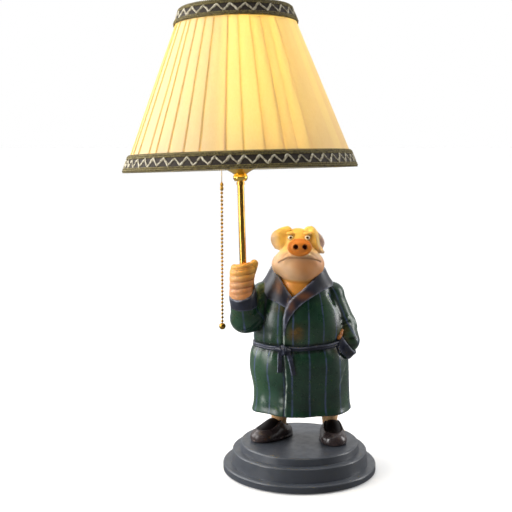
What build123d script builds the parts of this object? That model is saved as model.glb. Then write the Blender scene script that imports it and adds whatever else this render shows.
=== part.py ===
from build123d import *

import os
from math import cos, radians, sin

# Table lamp: a pig in a dressing gown stands on a stepped plinth and holds up a brass stem with a
# pull-cord lampholder and a pleated shade.
# Millimetres, +Z up.  Origin at the centre of the plinth's underside.  The pig faces -Y, so its
# right hand, which holds the stem, is on the -X side.

# ---------------------------------------------------------------- plinth
FELT_T = 1.5
PLINTH_OUTLINE = ((91.5, FELT_T), (91.5, 9.5), (82.0, 9.5), (80.0, 25.6), (71.5, 25.6), (70.0, 34.3))
PLINTH_TOP = 34.3
PLINTH_EDGE_R = 2.2
CAVITY_R = 62.0
CAVITY_TOP = 24.0
COVER_R = 76.0
COVER_T = 1.5
COVER_SCREW_RING_R = 69.0
BALLAST = (40.0, 58.0, 4.0, 18.5)
INLET_Z = 17.0
INLET_BORE_R = 3.2

# ---------------------------------------------------------------- figure
LEG_RIGHT = (-23.8, 17.0)
LEG_LEFT = (37.5, 14.0)
LEG_R = 10.5
LEG_FOOT_Z = 42.0
ROBE_FLOOR_Z = (84.0, 91.0)
ROBE_WALL = 5.0
# Level sections of the robe: height, centre x, centre y, half width, half depth.
ROBE_ROWS = (
    (72.5, 2.0, 5.0, 58.5, 42.0),
    (98.0, 2.0, 5.0, 57.3, 41.0),
    (126.0, -0.5, 5.0, 59.2, 42.5),
    (141.0, -0.5, 5.0, 58.0, 41.5),
    (155.0, -0.5, 5.0, 53.5, 38.0),
    (177.0, -1.0, 5.0, 53.5, 38.5),
    (197.0, -2.0, 5.0, 51.0, 36.0),
    (213.0, -2.5, 5.0, 45.0, 32.5),
    (226.0, -3.0, 5.0, 36.0, 27.0),
    (234.0, -3.0, 5.0, 25.0, 21.0),
)
HEAD_ROWS = (
    (227.0, -2.7, 1.0, 15.0, 14.0),
    (232.0, -2.7, 0.0, 25.0, 21.5),
    (241.0, -2.7, -1.0, 29.3, 26.0),
    (251.0, -2.7, -1.0, 30.0, 28.0),
    (260.0, -2.7, -0.5, 26.5, 26.0),
    (269.0, -2.7, 0.5, 21.0, 20.5),
    (279.0, -2.7, 1.5, 17.8, 17.5),
    (286.0, -2.7, 2.0, 13.0, 12.5),
    (289.5, -2.7, 2.5, 5.5, 5.2),
)
NECK_Z = (206.0, 237.0)
BELT_Z = 152.8
BELT_TALL = 8.0
BELT_PROUD = 2.2
BELT_RISE_DEG = 3.0

# ---------------------------------------------------------------- stem, lampholder and bulb
# The stem leans a little away from the figure and back.  Its own parts are drawn upright about
# the stem's axis, with heights from the stem's foot, and then moved onto the leaning axis.
STEM_FOOT = (-66.0, -26.5, 216.0)
LEAN_LEFT_DEG = 1.64
LEAN_BACK_DEG = 1.82
STEM_R = 3.9
STEM_BORE_R = 3.1
STEM_TOP = 149.0
COLLAR = (125.4, 128.8)
COLLAR_R = 4.7
KNOP = (129.6, 137.4)
KNOP_R = 8.3
KNOP_FOOT_R = 6.2
CUP_TOP = 145.0
CUP_NECK_R = 7.2
CUP_RIM_R = 18.5
HOLDER_CAP_TOP = 154.0
HOLDER_R = 14.0
HOLDER_WALL = 1.2
HOLDER_TOP = 187.0
CONTACT_Z = 173.0
SLEEVE_R = 7.05
SLEEVE_WALL = 0.75
FITTER = (180.0, 181.5)
FITTER_R = (14.4, 18.5)
RING = (181.7, 185.7)
RING_R = (14.05, 17.0)
BULB_FOOT = 175.0
BULB_CAP_R = 7.0
BULB_CAP_TOP = 190.0
BULB_R = 22.5
BULB_CENTRE = 226.0
BULB_GLASS_T = 0.8

# ---------------------------------------------------------------- shade
SHADE_FOOT = 142.0
SHADE_TOP = 322.0
SHADE_R = (132.0, 62.0)
PLEAT_T = 1.6
LINING_GAP = 0.2
LINING_T = 0.8
TRIM_T = 1.0
BOTTOM_TRIM_TALL = 18.6
TOP_TRIM_TALL = 17.0
WIRE_R = 1.25
STRUT_COUNT = 6
STRUT_TURN = -8.0            # degrees from +X to the first strut
ARM_COUNT = 3
ARM_R = 1.3

# ---------------------------------------------------------------- pull cord and bead chain
PULL_X = -91.2
PULL_Y = -21.1
GUIDE_Z = (377.5, 382.5)
GUIDE_R = 3.2
PIN_R = 1.5
PIN_CLEARANCE = 0.05
PIN_Z = (376.0, 388.8)
PULL_TRAVEL = 5.0
PIN_HEAD_R = 2.4
CORD_R = 0.45
CORD_Z = (344.5, 375.7)
COUPLING_Z = 334.3
COUPLING_R = 1.95
CHAIN_TOP = 334.0
BEAD_R = 1.6
BEAD_COUNT = 35
BALL_R = 3.9
BALL_Z = 177.2

# ---------------------------------------------------------------- lead inside the lamp
LEAD_R = 1.6
LEAD_CHANNEL_R = 2.8
LEAD_END = 153.0
FOOT_X, FOOT_Y, FOOT_Z = STEM_FOOT
LEAD_BELOW_FOOT = 20.0


def ellipse_stack(rows, extra=0.0):
    """Solid through level ellipses, each grown by extra: height, centre x and y, half sizes."""
    sections = [Pos(x, y, z) * Ellipse(half_x + extra, half_y + extra) for z, x, y, half_x, half_y in rows]
    return loft(sections, ruled=True)


def turned(outline):
    """Solid of revolution about Z from a closed outline of (radius, height) points."""
    outline_points = [(r, 0, z) for r, z in outline]
    return revolve(make_face(Polyline(*outline_points, close=True)), Axis.Z)


def tube(inner_r, outer_r, low, high):
    """Upright ring of rectangular section, or a plain disc when inner_r is zero."""
    return turned(((inner_r, low), (outer_r, low), (outer_r, high), (inner_r, high)))


def limb(points, radii):
    """Rounded limb: a ball at each point and a straight cone between neighbours."""
    shape = Pos(*points[0]) * Sphere(radii[0])
    for start, end, start_r, end_r in zip(points, points[1:], radii, radii[1:]):
        along = Vector(*end) - Vector(*start)
        base = Plane(origin=start, z_dir=along)
        cone = base * Cone(start_r, end_r, along.length, align=(Align.CENTER, Align.CENTER, Align.MIN))
        shape = shape + cone + Pos(*end) * Sphere(end_r)
    return shape


def block(x_range, y_range, z_range):
    """Box between two corners."""
    sizes = [high - low for low, high in (x_range, y_range, z_range)]
    centre = [(high + low) / 2 for low, high in (x_range, y_range, z_range)]
    return Pos(*centre) * Box(*sizes)


def front_prism(points, y_range):
    """Prism along Y whose outline is given as (x, z) points."""
    low, high = y_range
    face = make_face(Polyline(*[(x, high, z) for x, z in points], close=True))
    return extrude(face, amount=high - low, dir=(0, -1, 0))


def lobe(centre, half_wide, half_tall, thickness, turn):
    """Flat oval lobe that faces -Y, turned and moved to its centre."""
    oval = extrude(Ellipse(half_wide, half_tall), amount=thickness / 2, both=True)
    return Pos(*centre) * Rot(*turn) * Rot(90, 0, 0) * oval


# ================================================================ plinth and its fittings
def screws(places, head_z, tip_z, head_r, shank_r, head_t):
    """Vertical screws whose heads face down."""
    group = []
    for x, y in places:
        head = tube(0, head_r, head_z, head_z + head_t)
        shank = tube(0, shank_r, head_z + head_t, tip_z)
        group.append(Pos(x, y, 0) * (head + shank))
    return Compound(children=group)


def make_plinth(fittings):
    """Three-tier turned plinth, hollow underneath, cut for its cover and everything set in it."""
    body = turned(((0, FELT_T),) + PLINTH_OUTLINE + ((0, PLINTH_TOP),))
    rims = [edge for edge in body.edges().filter_by(GeomType.CIRCLE) if is_rim(edge)]
    body = fillet(rims, PLINTH_EDGE_R)
    body -= tube(0, CAVITY_R, FELT_T, CAVITY_TOP)
    body -= tube(0, COVER_R, FELT_T, FELT_T + COVER_T)
    for fitting in fittings:
        body -= fitting
    return body


def is_rim(edge):
    """True for the outer top edge of a tier."""
    radius, height = round(edge.radius, 3), round(edge.arc_center.Z, 3)
    return (radius, height) in {PLINTH_OUTLINE[1], PLINTH_OUTLINE[3], PLINTH_OUTLINE[5]}


def along_y(shape, z):
    """Turn an upright solid so that its axis runs along +Y at height z."""
    return Pos(0, 0, z) * Rot(-90, 0, 0) * shape


GROMMET_FACE_Y = 79.0
GROMMET_FLANGE_T = 2.0
GROMMET_BODY_R = 5.0
GROMMET_FLANGE_R = 6.2


def make_grommet():
    """Flanged bush through the back of the middle tier, where a mains lead would enter."""
    outer_y = GROMMET_FACE_Y + GROMMET_FLANGE_T
    body = tube(INLET_BORE_R, GROMMET_BODY_R, CAVITY_R - 2.0, GROMMET_FACE_Y)
    flange = tube(INLET_BORE_R, GROMMET_FLANGE_R, GROMMET_FACE_Y, outer_y)
    return along_y(body + flange, INLET_Z)


def make_grommet_pocket():
    """Hole and spot face that the grommet sits in."""
    hole = tube(0, GROMMET_BODY_R, CAVITY_R - 3.0, GROMMET_FACE_Y)
    spot_face = tube(0, GROMMET_FLANGE_R + 0.2, GROMMET_FACE_Y, GROMMET_FACE_Y + 10.0)
    return along_y(hole + spot_face, INLET_Z)


NIPPLE_R = 5.0
NIPPLE_BORE_R = 3.9
NIPPLE_Z = (18.0, 97.0)
NUT_T = 5.0
NUT_ACROSS_R = 9.5


def make_nipple():
    """Hollow threaded tube that clamps the right leg between plinth and robe and carries the lead."""
    return Pos(*LEG_RIGHT, 0) * tube(NIPPLE_BORE_R, NIPPLE_R, *NIPPLE_Z)


def make_nipple_nuts():
    """Hexagon nuts under the plinth's roof and on the robe's floor."""
    nuts = []
    for low in (CAVITY_TOP - NUT_T, ROBE_FLOOR_Z[1]):
        outline = Pos(*LEG_RIGHT, low) * (RegularPolygon(NUT_ACROSS_R, 6) - Circle(NIPPLE_R))
        nuts.append(extrude(outline, amount=NUT_T))
    return Compound(children=nuts)


def make_leg_screw():
    """Screw up through the plinth's roof into the left leg."""
    return Pos(*LEG_LEFT, 0) * (tube(0, 5.5, CAVITY_TOP - 3.5, CAVITY_TOP) + tube(0, 3.0, CAVITY_TOP, 72.0))


TERMINAL_X = (12.0, 28.0)


def make_terminal_block():
    """Two-way terminal block fixed under the plinth's roof."""
    return block(TERMINAL_X, (-14.0, -3.0), (CAVITY_TOP - 9.5, CAVITY_TOP))


# ================================================================ lead
def lead_route():
    """Corner points of the lead: terminal block, right leg, torso, right arm, stem."""
    lean_x = -sin(radians(LEAN_LEFT_DEG))
    lean_y = sin(radians(LEAN_BACK_DEG))
    stem_start = (FOOT_X - LEAD_BELOW_FOOT * lean_x, FOOT_Y - LEAD_BELOW_FOOT * lean_y, FOOT_Z - LEAD_BELOW_FOOT)
    return (
        (TERMINAL_X[0], -8.5, 16.0),
        (3.0, -8.5, 16.0),
        (-8.0, -5.0, 10.0),
        (-23.8, 17.0, 9.5),
        (-23.4, 16.7, 52.0),
        (-24.4, 15.8, 95.0),
        (-18.0, 12.0, 130.0),
        (-22.0, 8.0, 170.0),
        (-40.0, -6.0, 190.0),
        stem_start,
        tuple(STEM_FRAME.position + STEM_UP * LEAD_END),
    )


def bend_radii(points):
    """Bend radius at each inner corner: 0.45 of the shorter run over the tangent of half the turn."""
    corners = [Vector(*p) for p in points]
    radii = []
    for before, here, after in zip(corners, corners[1:], corners[2:]):
        run_in, run_out = here - before, after - here
        half_turn = radians(run_in.get_angle(run_out)) / 2
        radii.append(0.45 * min(run_in.length, run_out.length) * cos(half_turn) / sin(half_turn))
    return radii


def lead_tube(radius):
    """Round tube along the lead's route."""
    points = lead_route()
    path = FilletPolyline(*points, radius=bend_radii(points))
    section = Plane(origin=path @ 0, z_dir=path % 0) * Circle(radius)
    return sweep(section, path=path), path


# ================================================================ figure
def make_leg(place):
    """Bare leg from inside the slipper up to the robe's floor."""
    x, y = place
    rows = ((LEG_FOOT_Z, x, y, 9.0, 8.9), (56.0, x, y, LEG_R, 10.4), (ROBE_FLOOR_Z[0], x, y, 11.5, 11.4))
    return ellipse_stack(rows)


def make_slipper(place, toe_turn_deg):
    """Low slipper with a rounded toe, drawn with its toe along +X from a point under the ankle."""
    rows = (
        (PLINTH_TOP, 7.5, 0, 32.5, 15.0),
        (40.0, 7.5, 0, 33.5, 16.3),
        (46.0, 5.5, 0, 31.0, 15.6),
        (52.0, 1.5, 0, 22.0, 14.0),
        (57.5, -1.0, 0, 14.5, 12.5),
    )
    return Pos(*place, 0) * Rot(0, 0, toe_turn_deg) * ellipse_stack(rows)


def make_robe(cut_away):
    """Hollow resin robe: recessed hem, a floor that the legs bolt to, and a cavity for the lead."""
    hem_top, floor_top = ROBE_FLOOR_Z
    outer = ellipse_stack(ROBE_ROWS)
    inner = ellipse_stack(ROBE_ROWS, -ROBE_WALL)
    recess = inner & block((-80, 80), (-60, 70), (60.0, hem_top))
    hollow = inner & block((-80, 80), (-60, 70), (floor_top, NECK_Z[0] - 2.0))
    body = outer - recess - hollow
    for shape in cut_away:
        body -= shape
    return body


V_OUTLINE = ((-10.5, 211.0), (-32.0, 240.0), (26.0, 240.0))


def make_neck():
    """Bare chest and neck that show in the robe's open front."""
    return ellipse_stack(ROBE_ROWS, -2.6) & block((-60, 60), (-50, 60), NECK_Z)


def make_collar(robe_outer, cut_away):
    """Shawl collar: two lapels lying on the robe and a band standing up round the neck."""
    lapel_shell = ellipse_stack(ROBE_ROWS, 2.6) - robe_outer
    right_lapel = ((-10.5, 212.0), (-17.8, 197.0), (-37.0, 207.0), (-46.0, 220.0), (-34.0, 240.0), (-28.0, 240.0))
    left_lapel = ((-10.5, 212.0), (-17.8, 197.0), (8.0, 204.0), (36.0, 221.0), (34.0, 240.0), (22.0, 240.0))
    front = (-60, 3)
    lapels = lapel_shell & (front_prism(right_lapel, front) + front_prism(left_lapel, front))
    back = lapel_shell & block((-60, 60), (3, 60), (212, 240))
    band_rows = ((226.0, -3.0, 5.5, 38.6, 29.6), (235.0, -2.7, 7.0, 34.0, 28.0), (243.0, -2.7, 9.0, 30.5, 25.5))
    band = ellipse_stack(band_rows) - ellipse_stack(band_rows, -4.0)
    band -= front_prism(((-10.5, 205.0), (-36.0, 246.0), (31.0, 246.0)), (-60, 3))
    shape = lapels + back + (band - robe_outer)
    for other in cut_away:
        shape -= other
    return shape


def make_belt(robe_outer, cut_away):
    """Belt band round the waist, a little higher on the left side."""
    z, x, y, half_x, half_y = ROBE_ROWS[4]
    hoop = extrude(Ellipse(half_x + BELT_PROUD, half_y + BELT_PROUD), amount=BELT_TALL / 2, both=True)
    band = Pos(x, y, BELT_Z) * Rot(0, -BELT_RISE_DEG, 0) * hoop - robe_outer
    for other in cut_away:
        band -= other
    return band


def make_belt_knot(robe_outer):
    """Knot in front of the belt."""
    return fillet(block((-27.0, -14.0), (-39.5, -28.0), (147.0, 157.5)).edges(), 3.0) - robe_outer


def make_belt_tails(robe_outer, cut_away):
    """Two flat ends hanging from the knot against the robe."""
    tails = []
    for x, low_z, high_z, tilt in ((-24.5, 127.0, 150.0, 6.0), (-11.5, 123.5, 149.0, -9.0)):
        slab = Pos(x, -36.5, (low_z + high_z) / 2) * Rot(5.0, tilt, 0) * Box(6.0, 5.0, high_z - low_z)
        for other in (robe_outer, *cut_away):
            slab -= other
        tails += slab.solids().sort_by(SortBy.VOLUME)[-1:]
    return Compound(children=tails)


RIGHT_ARM = ((-43.0, 2.0, 211.0), (-61.5, -13.0, 183.5), (-66.0, -25.5, 199.0))
RIGHT_ARM_R = (15.0, 16.5, 14.6)
LEFT_ARM = ((37.0, 3.0, 210.0), (51.5, 10.0, 173.0), (54.0, -3.0, 155.0))
LEFT_ARM_R = (14.5, 15.7, 13.0)
CUFF_T = 1.8


def make_cuff(base, low_r, high_r, height, cut_away):
    """Turned-back cuff: a short conical band about a plane's axis."""
    band = base * Cone(low_r, high_r, height, align=(Align.CENTER, Align.CENTER, Align.MIN))
    for other in cut_away:
        band -= other
    return band


FIST_X = (-82.6, -53.4)
FIST_Y = (-41.5, -11.0)
FIST_Z = (210.5, 247.5)


def make_fist():
    """Closed right hand with its thumb up, bored for the stem."""
    hand = fillet(block(FIST_X, FIST_Y, FIST_Z).edges(), 11.0)
    thumb = limb(((-57.5, -24.0, 236.0), (-53.6, -22.0, 250.0)), (5.6, 5.2))
    return hand + thumb


def make_snout():
    """Oval snout disc on a short muzzle, pointing -Y, with two nostrils."""
    sections = ((-38.0, 12.6, 8.9), (-34.0, 13.6, 9.8), (-12.0, 12.6, 9.0))
    muzzle = loft([Pos(-2.5, y, 271.0) * Rot(90, 0, 0) * Ellipse(rx, rz) for y, rx, rz in sections])
    for x in (-7.2, 2.6):
        muzzle -= Pos(x, -38.0, 272.2) * Rot(90, 0, 0) * Cylinder(1.9, 6.0)
    return muzzle


# ================================================================ stem, lampholder and bulb
STEM_FRAME = Location(STEM_FOOT, (-LEAN_BACK_DEG, -LEAN_LEFT_DEG, 0))
STEM_UP = Plane(STEM_FRAME).z_dir


def make_knop():
    """Turned knob under the cup, widest above its middle."""
    low, high = KNOP
    widest = (KNOP_R, 0, high - 3.0)
    side = ThreePointArc((KNOP_FOOT_R, 0, low), widest, (CUP_NECK_R, 0, high))
    face = make_face(side + Polyline((CUP_NECK_R, 0, high), (STEM_R, 0, high), (STEM_R, 0, low), (KNOP_FOOT_R, 0, low)))
    return revolve(face, Axis.Z)


def make_cup():
    """Flared cup between the knop and the lampholder."""
    low, high = KNOP[1], CUP_TOP
    rim_low = high - 1.2
    flare = ThreePointArc((CUP_NECK_R, 0, low), (12.5, 0, low + 3.5), (CUP_RIM_R, 0, rim_low))
    top = Polyline((CUP_RIM_R, 0, rim_low), (CUP_RIM_R, 0, high), (STEM_R, 0, high), (STEM_R, 0, low), (CUP_NECK_R, 0, low))
    return revolve(make_face(flare + top), Axis.Z)


def make_holder_cap():
    """Dished cap that screws onto the stem and carries the shell."""
    step = HOLDER_CAP_TOP - 3.0
    outer = HOLDER_R + 1.0
    outline = (
        (STEM_R, CUP_TOP), (outer - 2.5, CUP_TOP), (outer, CUP_TOP + 3.0), (outer, HOLDER_CAP_TOP),
        (HOLDER_R, HOLDER_CAP_TOP), (HOLDER_R, step), (2.5, step), (2.5, STEM_TOP), (STEM_R, STEM_TOP),
    )
    return turned(outline)


def make_holder_core():
    """Insulating core with the switch inside and a socket for the screw sleeve."""
    outer = HOLDER_R - HOLDER_WALL
    socket = SLEEVE_R + SLEEVE_WALL
    low = HOLDER_CAP_TOP - 3.0
    lead_way = (2.5, low), (2.5, low + 4.0), (0, low + 4.0)
    outline = ((outer, low), (outer, HOLDER_TOP - 1.0), (socket, HOLDER_TOP - 1.0), (socket, CONTACT_Z - 2.0))
    return turned(lead_way + ((0, CONTACT_Z - 2.0),) + outline[::-1])


def bulb_profile(inset):
    """Outline edges of the bulb's glass, from its open neck up to the pole, set in by inset."""
    neck_r = 6.3 - inset
    ball_r = BULB_R - inset
    join = radians(35.0)
    join_point = (ball_r * sin(join), 0, BULB_CENTRE - ball_r * cos(join))
    neck = Line((neck_r, 0, BULB_CAP_TOP - 4.0), (neck_r, 0, BULB_CAP_TOP + 2.0))
    shoulder = TangentArc((neck_r, 0, BULB_CAP_TOP + 2.0), join_point, tangent=(0, 0, 1))
    side = (ball_r * cos(radians(20.0)), 0, BULB_CENTRE + ball_r * sin(radians(20.0)))
    crown = ThreePointArc(join_point, side, (0, 0, BULB_CENTRE + ball_r))
    return neck + shoulder + crown


def make_bulb_glass():
    """Round glass bulb, open at the neck where the cap holds it."""
    low = BULB_CAP_TOP - 4.0
    outer, inner = bulb_profile(0.0), bulb_profile(BULB_GLASS_T)
    foot = Line((6.3 - BULB_GLASS_T, 0, low), (6.3, 0, low))
    pole = Line((0, 0, BULB_CENTRE + BULB_R - BULB_GLASS_T), (0, 0, BULB_CENTRE + BULB_R))
    return revolve(make_face(outer + inner + foot + pole), Axis.Z)


def make_bulb_cap():
    """Screw cap with its centre contact."""
    inner = BULB_CAP_R - 0.6
    cup = turned(((0, BULB_FOOT), (4.0, BULB_FOOT), (BULB_CAP_R, BULB_FOOT + 3.0), (BULB_CAP_R, BULB_CAP_TOP),
                  (inner, BULB_CAP_TOP), (inner, BULB_FOOT + 4.0), (0, BULB_FOOT + 4.0)))
    return cup


def make_filament():
    """Two support wires and the filament between their tips."""
    foot, tip = BULB_FOOT + 4.0, BULB_CENTRE + 4.0
    wires = limb(((-3.0, 0, foot + 0.5), (-8.0, 0, tip)), (0.5, 0.48))
    wires += limb(((3.0, 0, foot + 0.5), (8.0, 0, tip)), (0.5, 0.48))
    return wires + Pos(0, 0, tip) * Rot(0, 90, 0) * Cylinder(0.45, 16.0)


# ================================================================ shade
def shade_radius(height):
    """Outer radius of the pleated cloth at a height up the stem."""
    share = (height - SHADE_FOOT) / (SHADE_TOP - SHADE_FOOT)
    return SHADE_R[0] + share * (SHADE_R[1] - SHADE_R[0])


def cone_shell(low, high, out, thickness):
    """Part of a conical shell whose outer face stands out from the cloth's face by out."""
    low_r, high_r = shade_radius(low) + out, shade_radius(high) + out
    return turned(((low_r - thickness, low), (low_r, low), (high_r, high), (high_r - thickness, high)))


def ring_radius(height):
    """Centre-line radius of a wire that lies inside the lining at a height."""
    return shade_radius(height) - PLEAT_T - LINING_GAP - LINING_T - WIRE_R - 0.3


def make_shade_frame():
    """Welded wire frame: a ring at each end and the struts between them."""
    low, high = SHADE_FOOT + 2.5, SHADE_TOP - 2.5
    frame = Pos(0, 0, low) * Torus(ring_radius(low), WIRE_R)
    frame += Pos(0, 0, high) * Torus(ring_radius(high), WIRE_R)
    for turn in range(STRUT_COUNT):
        strut = limb(((ring_radius(low), 0, low), (ring_radius(high), 0, high)), (1.0, 0.98))
        frame += Rot(0, 0, STRUT_TURN + 360 * turn / STRUT_COUNT) * strut
    return frame


def make_carrier():
    """Fitter ring that sits on the lampholder, with arms down to the lower wire ring."""
    low = SHADE_FOOT + 2.5
    carrier = tube(*FITTER_R, *FITTER)
    height = sum(FITTER) / 2
    for turn in range(ARM_COUNT):
        arm = limb(((FITTER_R[1] + 0.5, 0, height), (ring_radius(low), 0, low)), (ARM_R, ARM_R - 0.02))
        carrier += Rot(0, 0, 90 + 360 * turn / ARM_COUNT) * arm
    return carrier - tube(0, FITTER_R[0], FITTER[0] - 3.0, FITTER[1] + 3.0)


# ================================================================ pull switch
def make_guide(shell):
    """Small brass bracket on the shell with an upright bore for the pull pin."""
    boss = tube(0, GUIDE_R, *GUIDE_Z)
    arm = block((0, 9.0), (-2.2, 2.2), (GUIDE_Z[0] + 0.8, GUIDE_Z[1] - 0.8))
    bore = tube(0, PIN_R + PIN_CLEARANCE, GUIDE_Z[0] - 1, GUIDE_Z[1] + 1)
    return Pos(PULL_X, PULL_Y, 0) * (boss + arm - bore) - shell


def make_pin():
    """Pull pin with a stop head; the head meets the guide at the end of the pull."""
    head_z = GUIDE_Z[1] + PULL_TRAVEL + 0.1
    pin = tube(0, PIN_R, PIN_Z[0], head_z) + tube(0, PIN_HEAD_R, head_z, PIN_Z[1])
    return Pos(PULL_X, PULL_Y, 0) * pin


def make_coupling():
    """Two brass bells, mouth to mouth, that join the cord to the bead chain."""
    low, high = COUPLING_Z, CORD_Z[0]
    middle = (low + high) / 2
    outline = ((0, low), (1.3, low), (COUPLING_R, low + 1.2), (COUPLING_R, middle - 0.8), (1.1, middle),
               (COUPLING_R, middle + 0.8), (COUPLING_R, high - 1.6), (0.8, high), (0, high))
    return Pos(PULL_X, PULL_Y, 0) * turned(outline)


def make_bead_chain():
    """Straight hanging bead chain, turned in one piece: beads joined by thin pins."""
    pin_r = 0.45
    bottom = BALL_Z + (BALL_R ** 2 - pin_r ** 2) ** 0.5
    pitch = (CHAIN_TOP - bottom) / BEAD_COUNT
    rise = (BEAD_R ** 2 - pin_r ** 2) ** 0.5
    edges = Line((0, 0, bottom), (pin_r, 0, bottom))
    z = bottom
    for bead in range(BEAD_COUNT):
        centre = bottom + (bead + 0.5) * pitch
        edges += Line((pin_r, 0, z), (pin_r, 0, centre - rise))
        edges += ThreePointArc((pin_r, 0, centre - rise), (BEAD_R, 0, centre), (pin_r, 0, centre + rise))
        z = centre + rise
    edges += Polyline((pin_r, 0, z), (pin_r, 0, CHAIN_TOP), (0, 0, CHAIN_TOP), (0, 0, bottom))
    return Pos(PULL_X, PULL_Y, 0) * revolve(make_face(edges), Axis.Z)


def make_ball():
    """Ball at the end of the chain, with a flat where the last pin enters."""
    flat_z = BALL_Z + (BALL_R ** 2 - 0.45 ** 2) ** 0.5
    above = block((-5, 5), (-5, 5), (flat_z, flat_z + 5))
    return Pos(PULL_X, PULL_Y, 0) * (Pos(0, 0, BALL_Z) * Sphere(BALL_R) - above)


# ================================================================ assembly
def stem_parts():
    """Everything about the stem's axis, upright."""
    sleeve_outer = SLEEVE_R + SLEEVE_WALL
    shell_foot = HOLDER_CAP_TOP - 3.0
    return {
        "stem_tube": tube(STEM_BORE_R, STEM_R, 0, STEM_TOP),
        "stem_collar": tube(STEM_R, COLLAR_R, *COLLAR),
        "stem_knop": make_knop(),
        "brass_cup": make_cup(),
        "lampholder_cap": make_holder_cap(),
        "lampholder_shell": tube(HOLDER_R - HOLDER_WALL, HOLDER_R, shell_foot, HOLDER_TOP),
        "lampholder_core": make_holder_core(),
        "screw_sleeve": tube(SLEEVE_R, sleeve_outer, CONTACT_Z - 2.0, HOLDER_TOP - 1.0),
        "centre_contact": tube(0, 2.5, CONTACT_Z - 2.0, BULB_FOOT - 0.4),
        "shade_ring": tube(*RING_R, *RING),
        "bulb_cap": make_bulb_cap(),
        "bulb_glass": make_bulb_glass(),
        "bulb_filament": make_filament(),
        "shade_frame": make_shade_frame(),
        "shade_lining": cone_shell(SHADE_FOOT + 0.8, SHADE_TOP - 0.8, -PLEAT_T - LINING_GAP, LINING_T),
        "shade_pleats": cone_shell(SHADE_FOOT, SHADE_TOP, 0.0, PLEAT_T),
        "bottom_trim": cone_shell(SHADE_FOOT, SHADE_FOOT + BOTTOM_TRIM_TALL, TRIM_T, TRIM_T),
        "top_trim": cone_shell(SHADE_TOP - TOP_TRIM_TALL, SHADE_TOP, TRIM_T, TRIM_T),
        "shade_carrier": make_carrier() - make_shade_frame(),
    }


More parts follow.
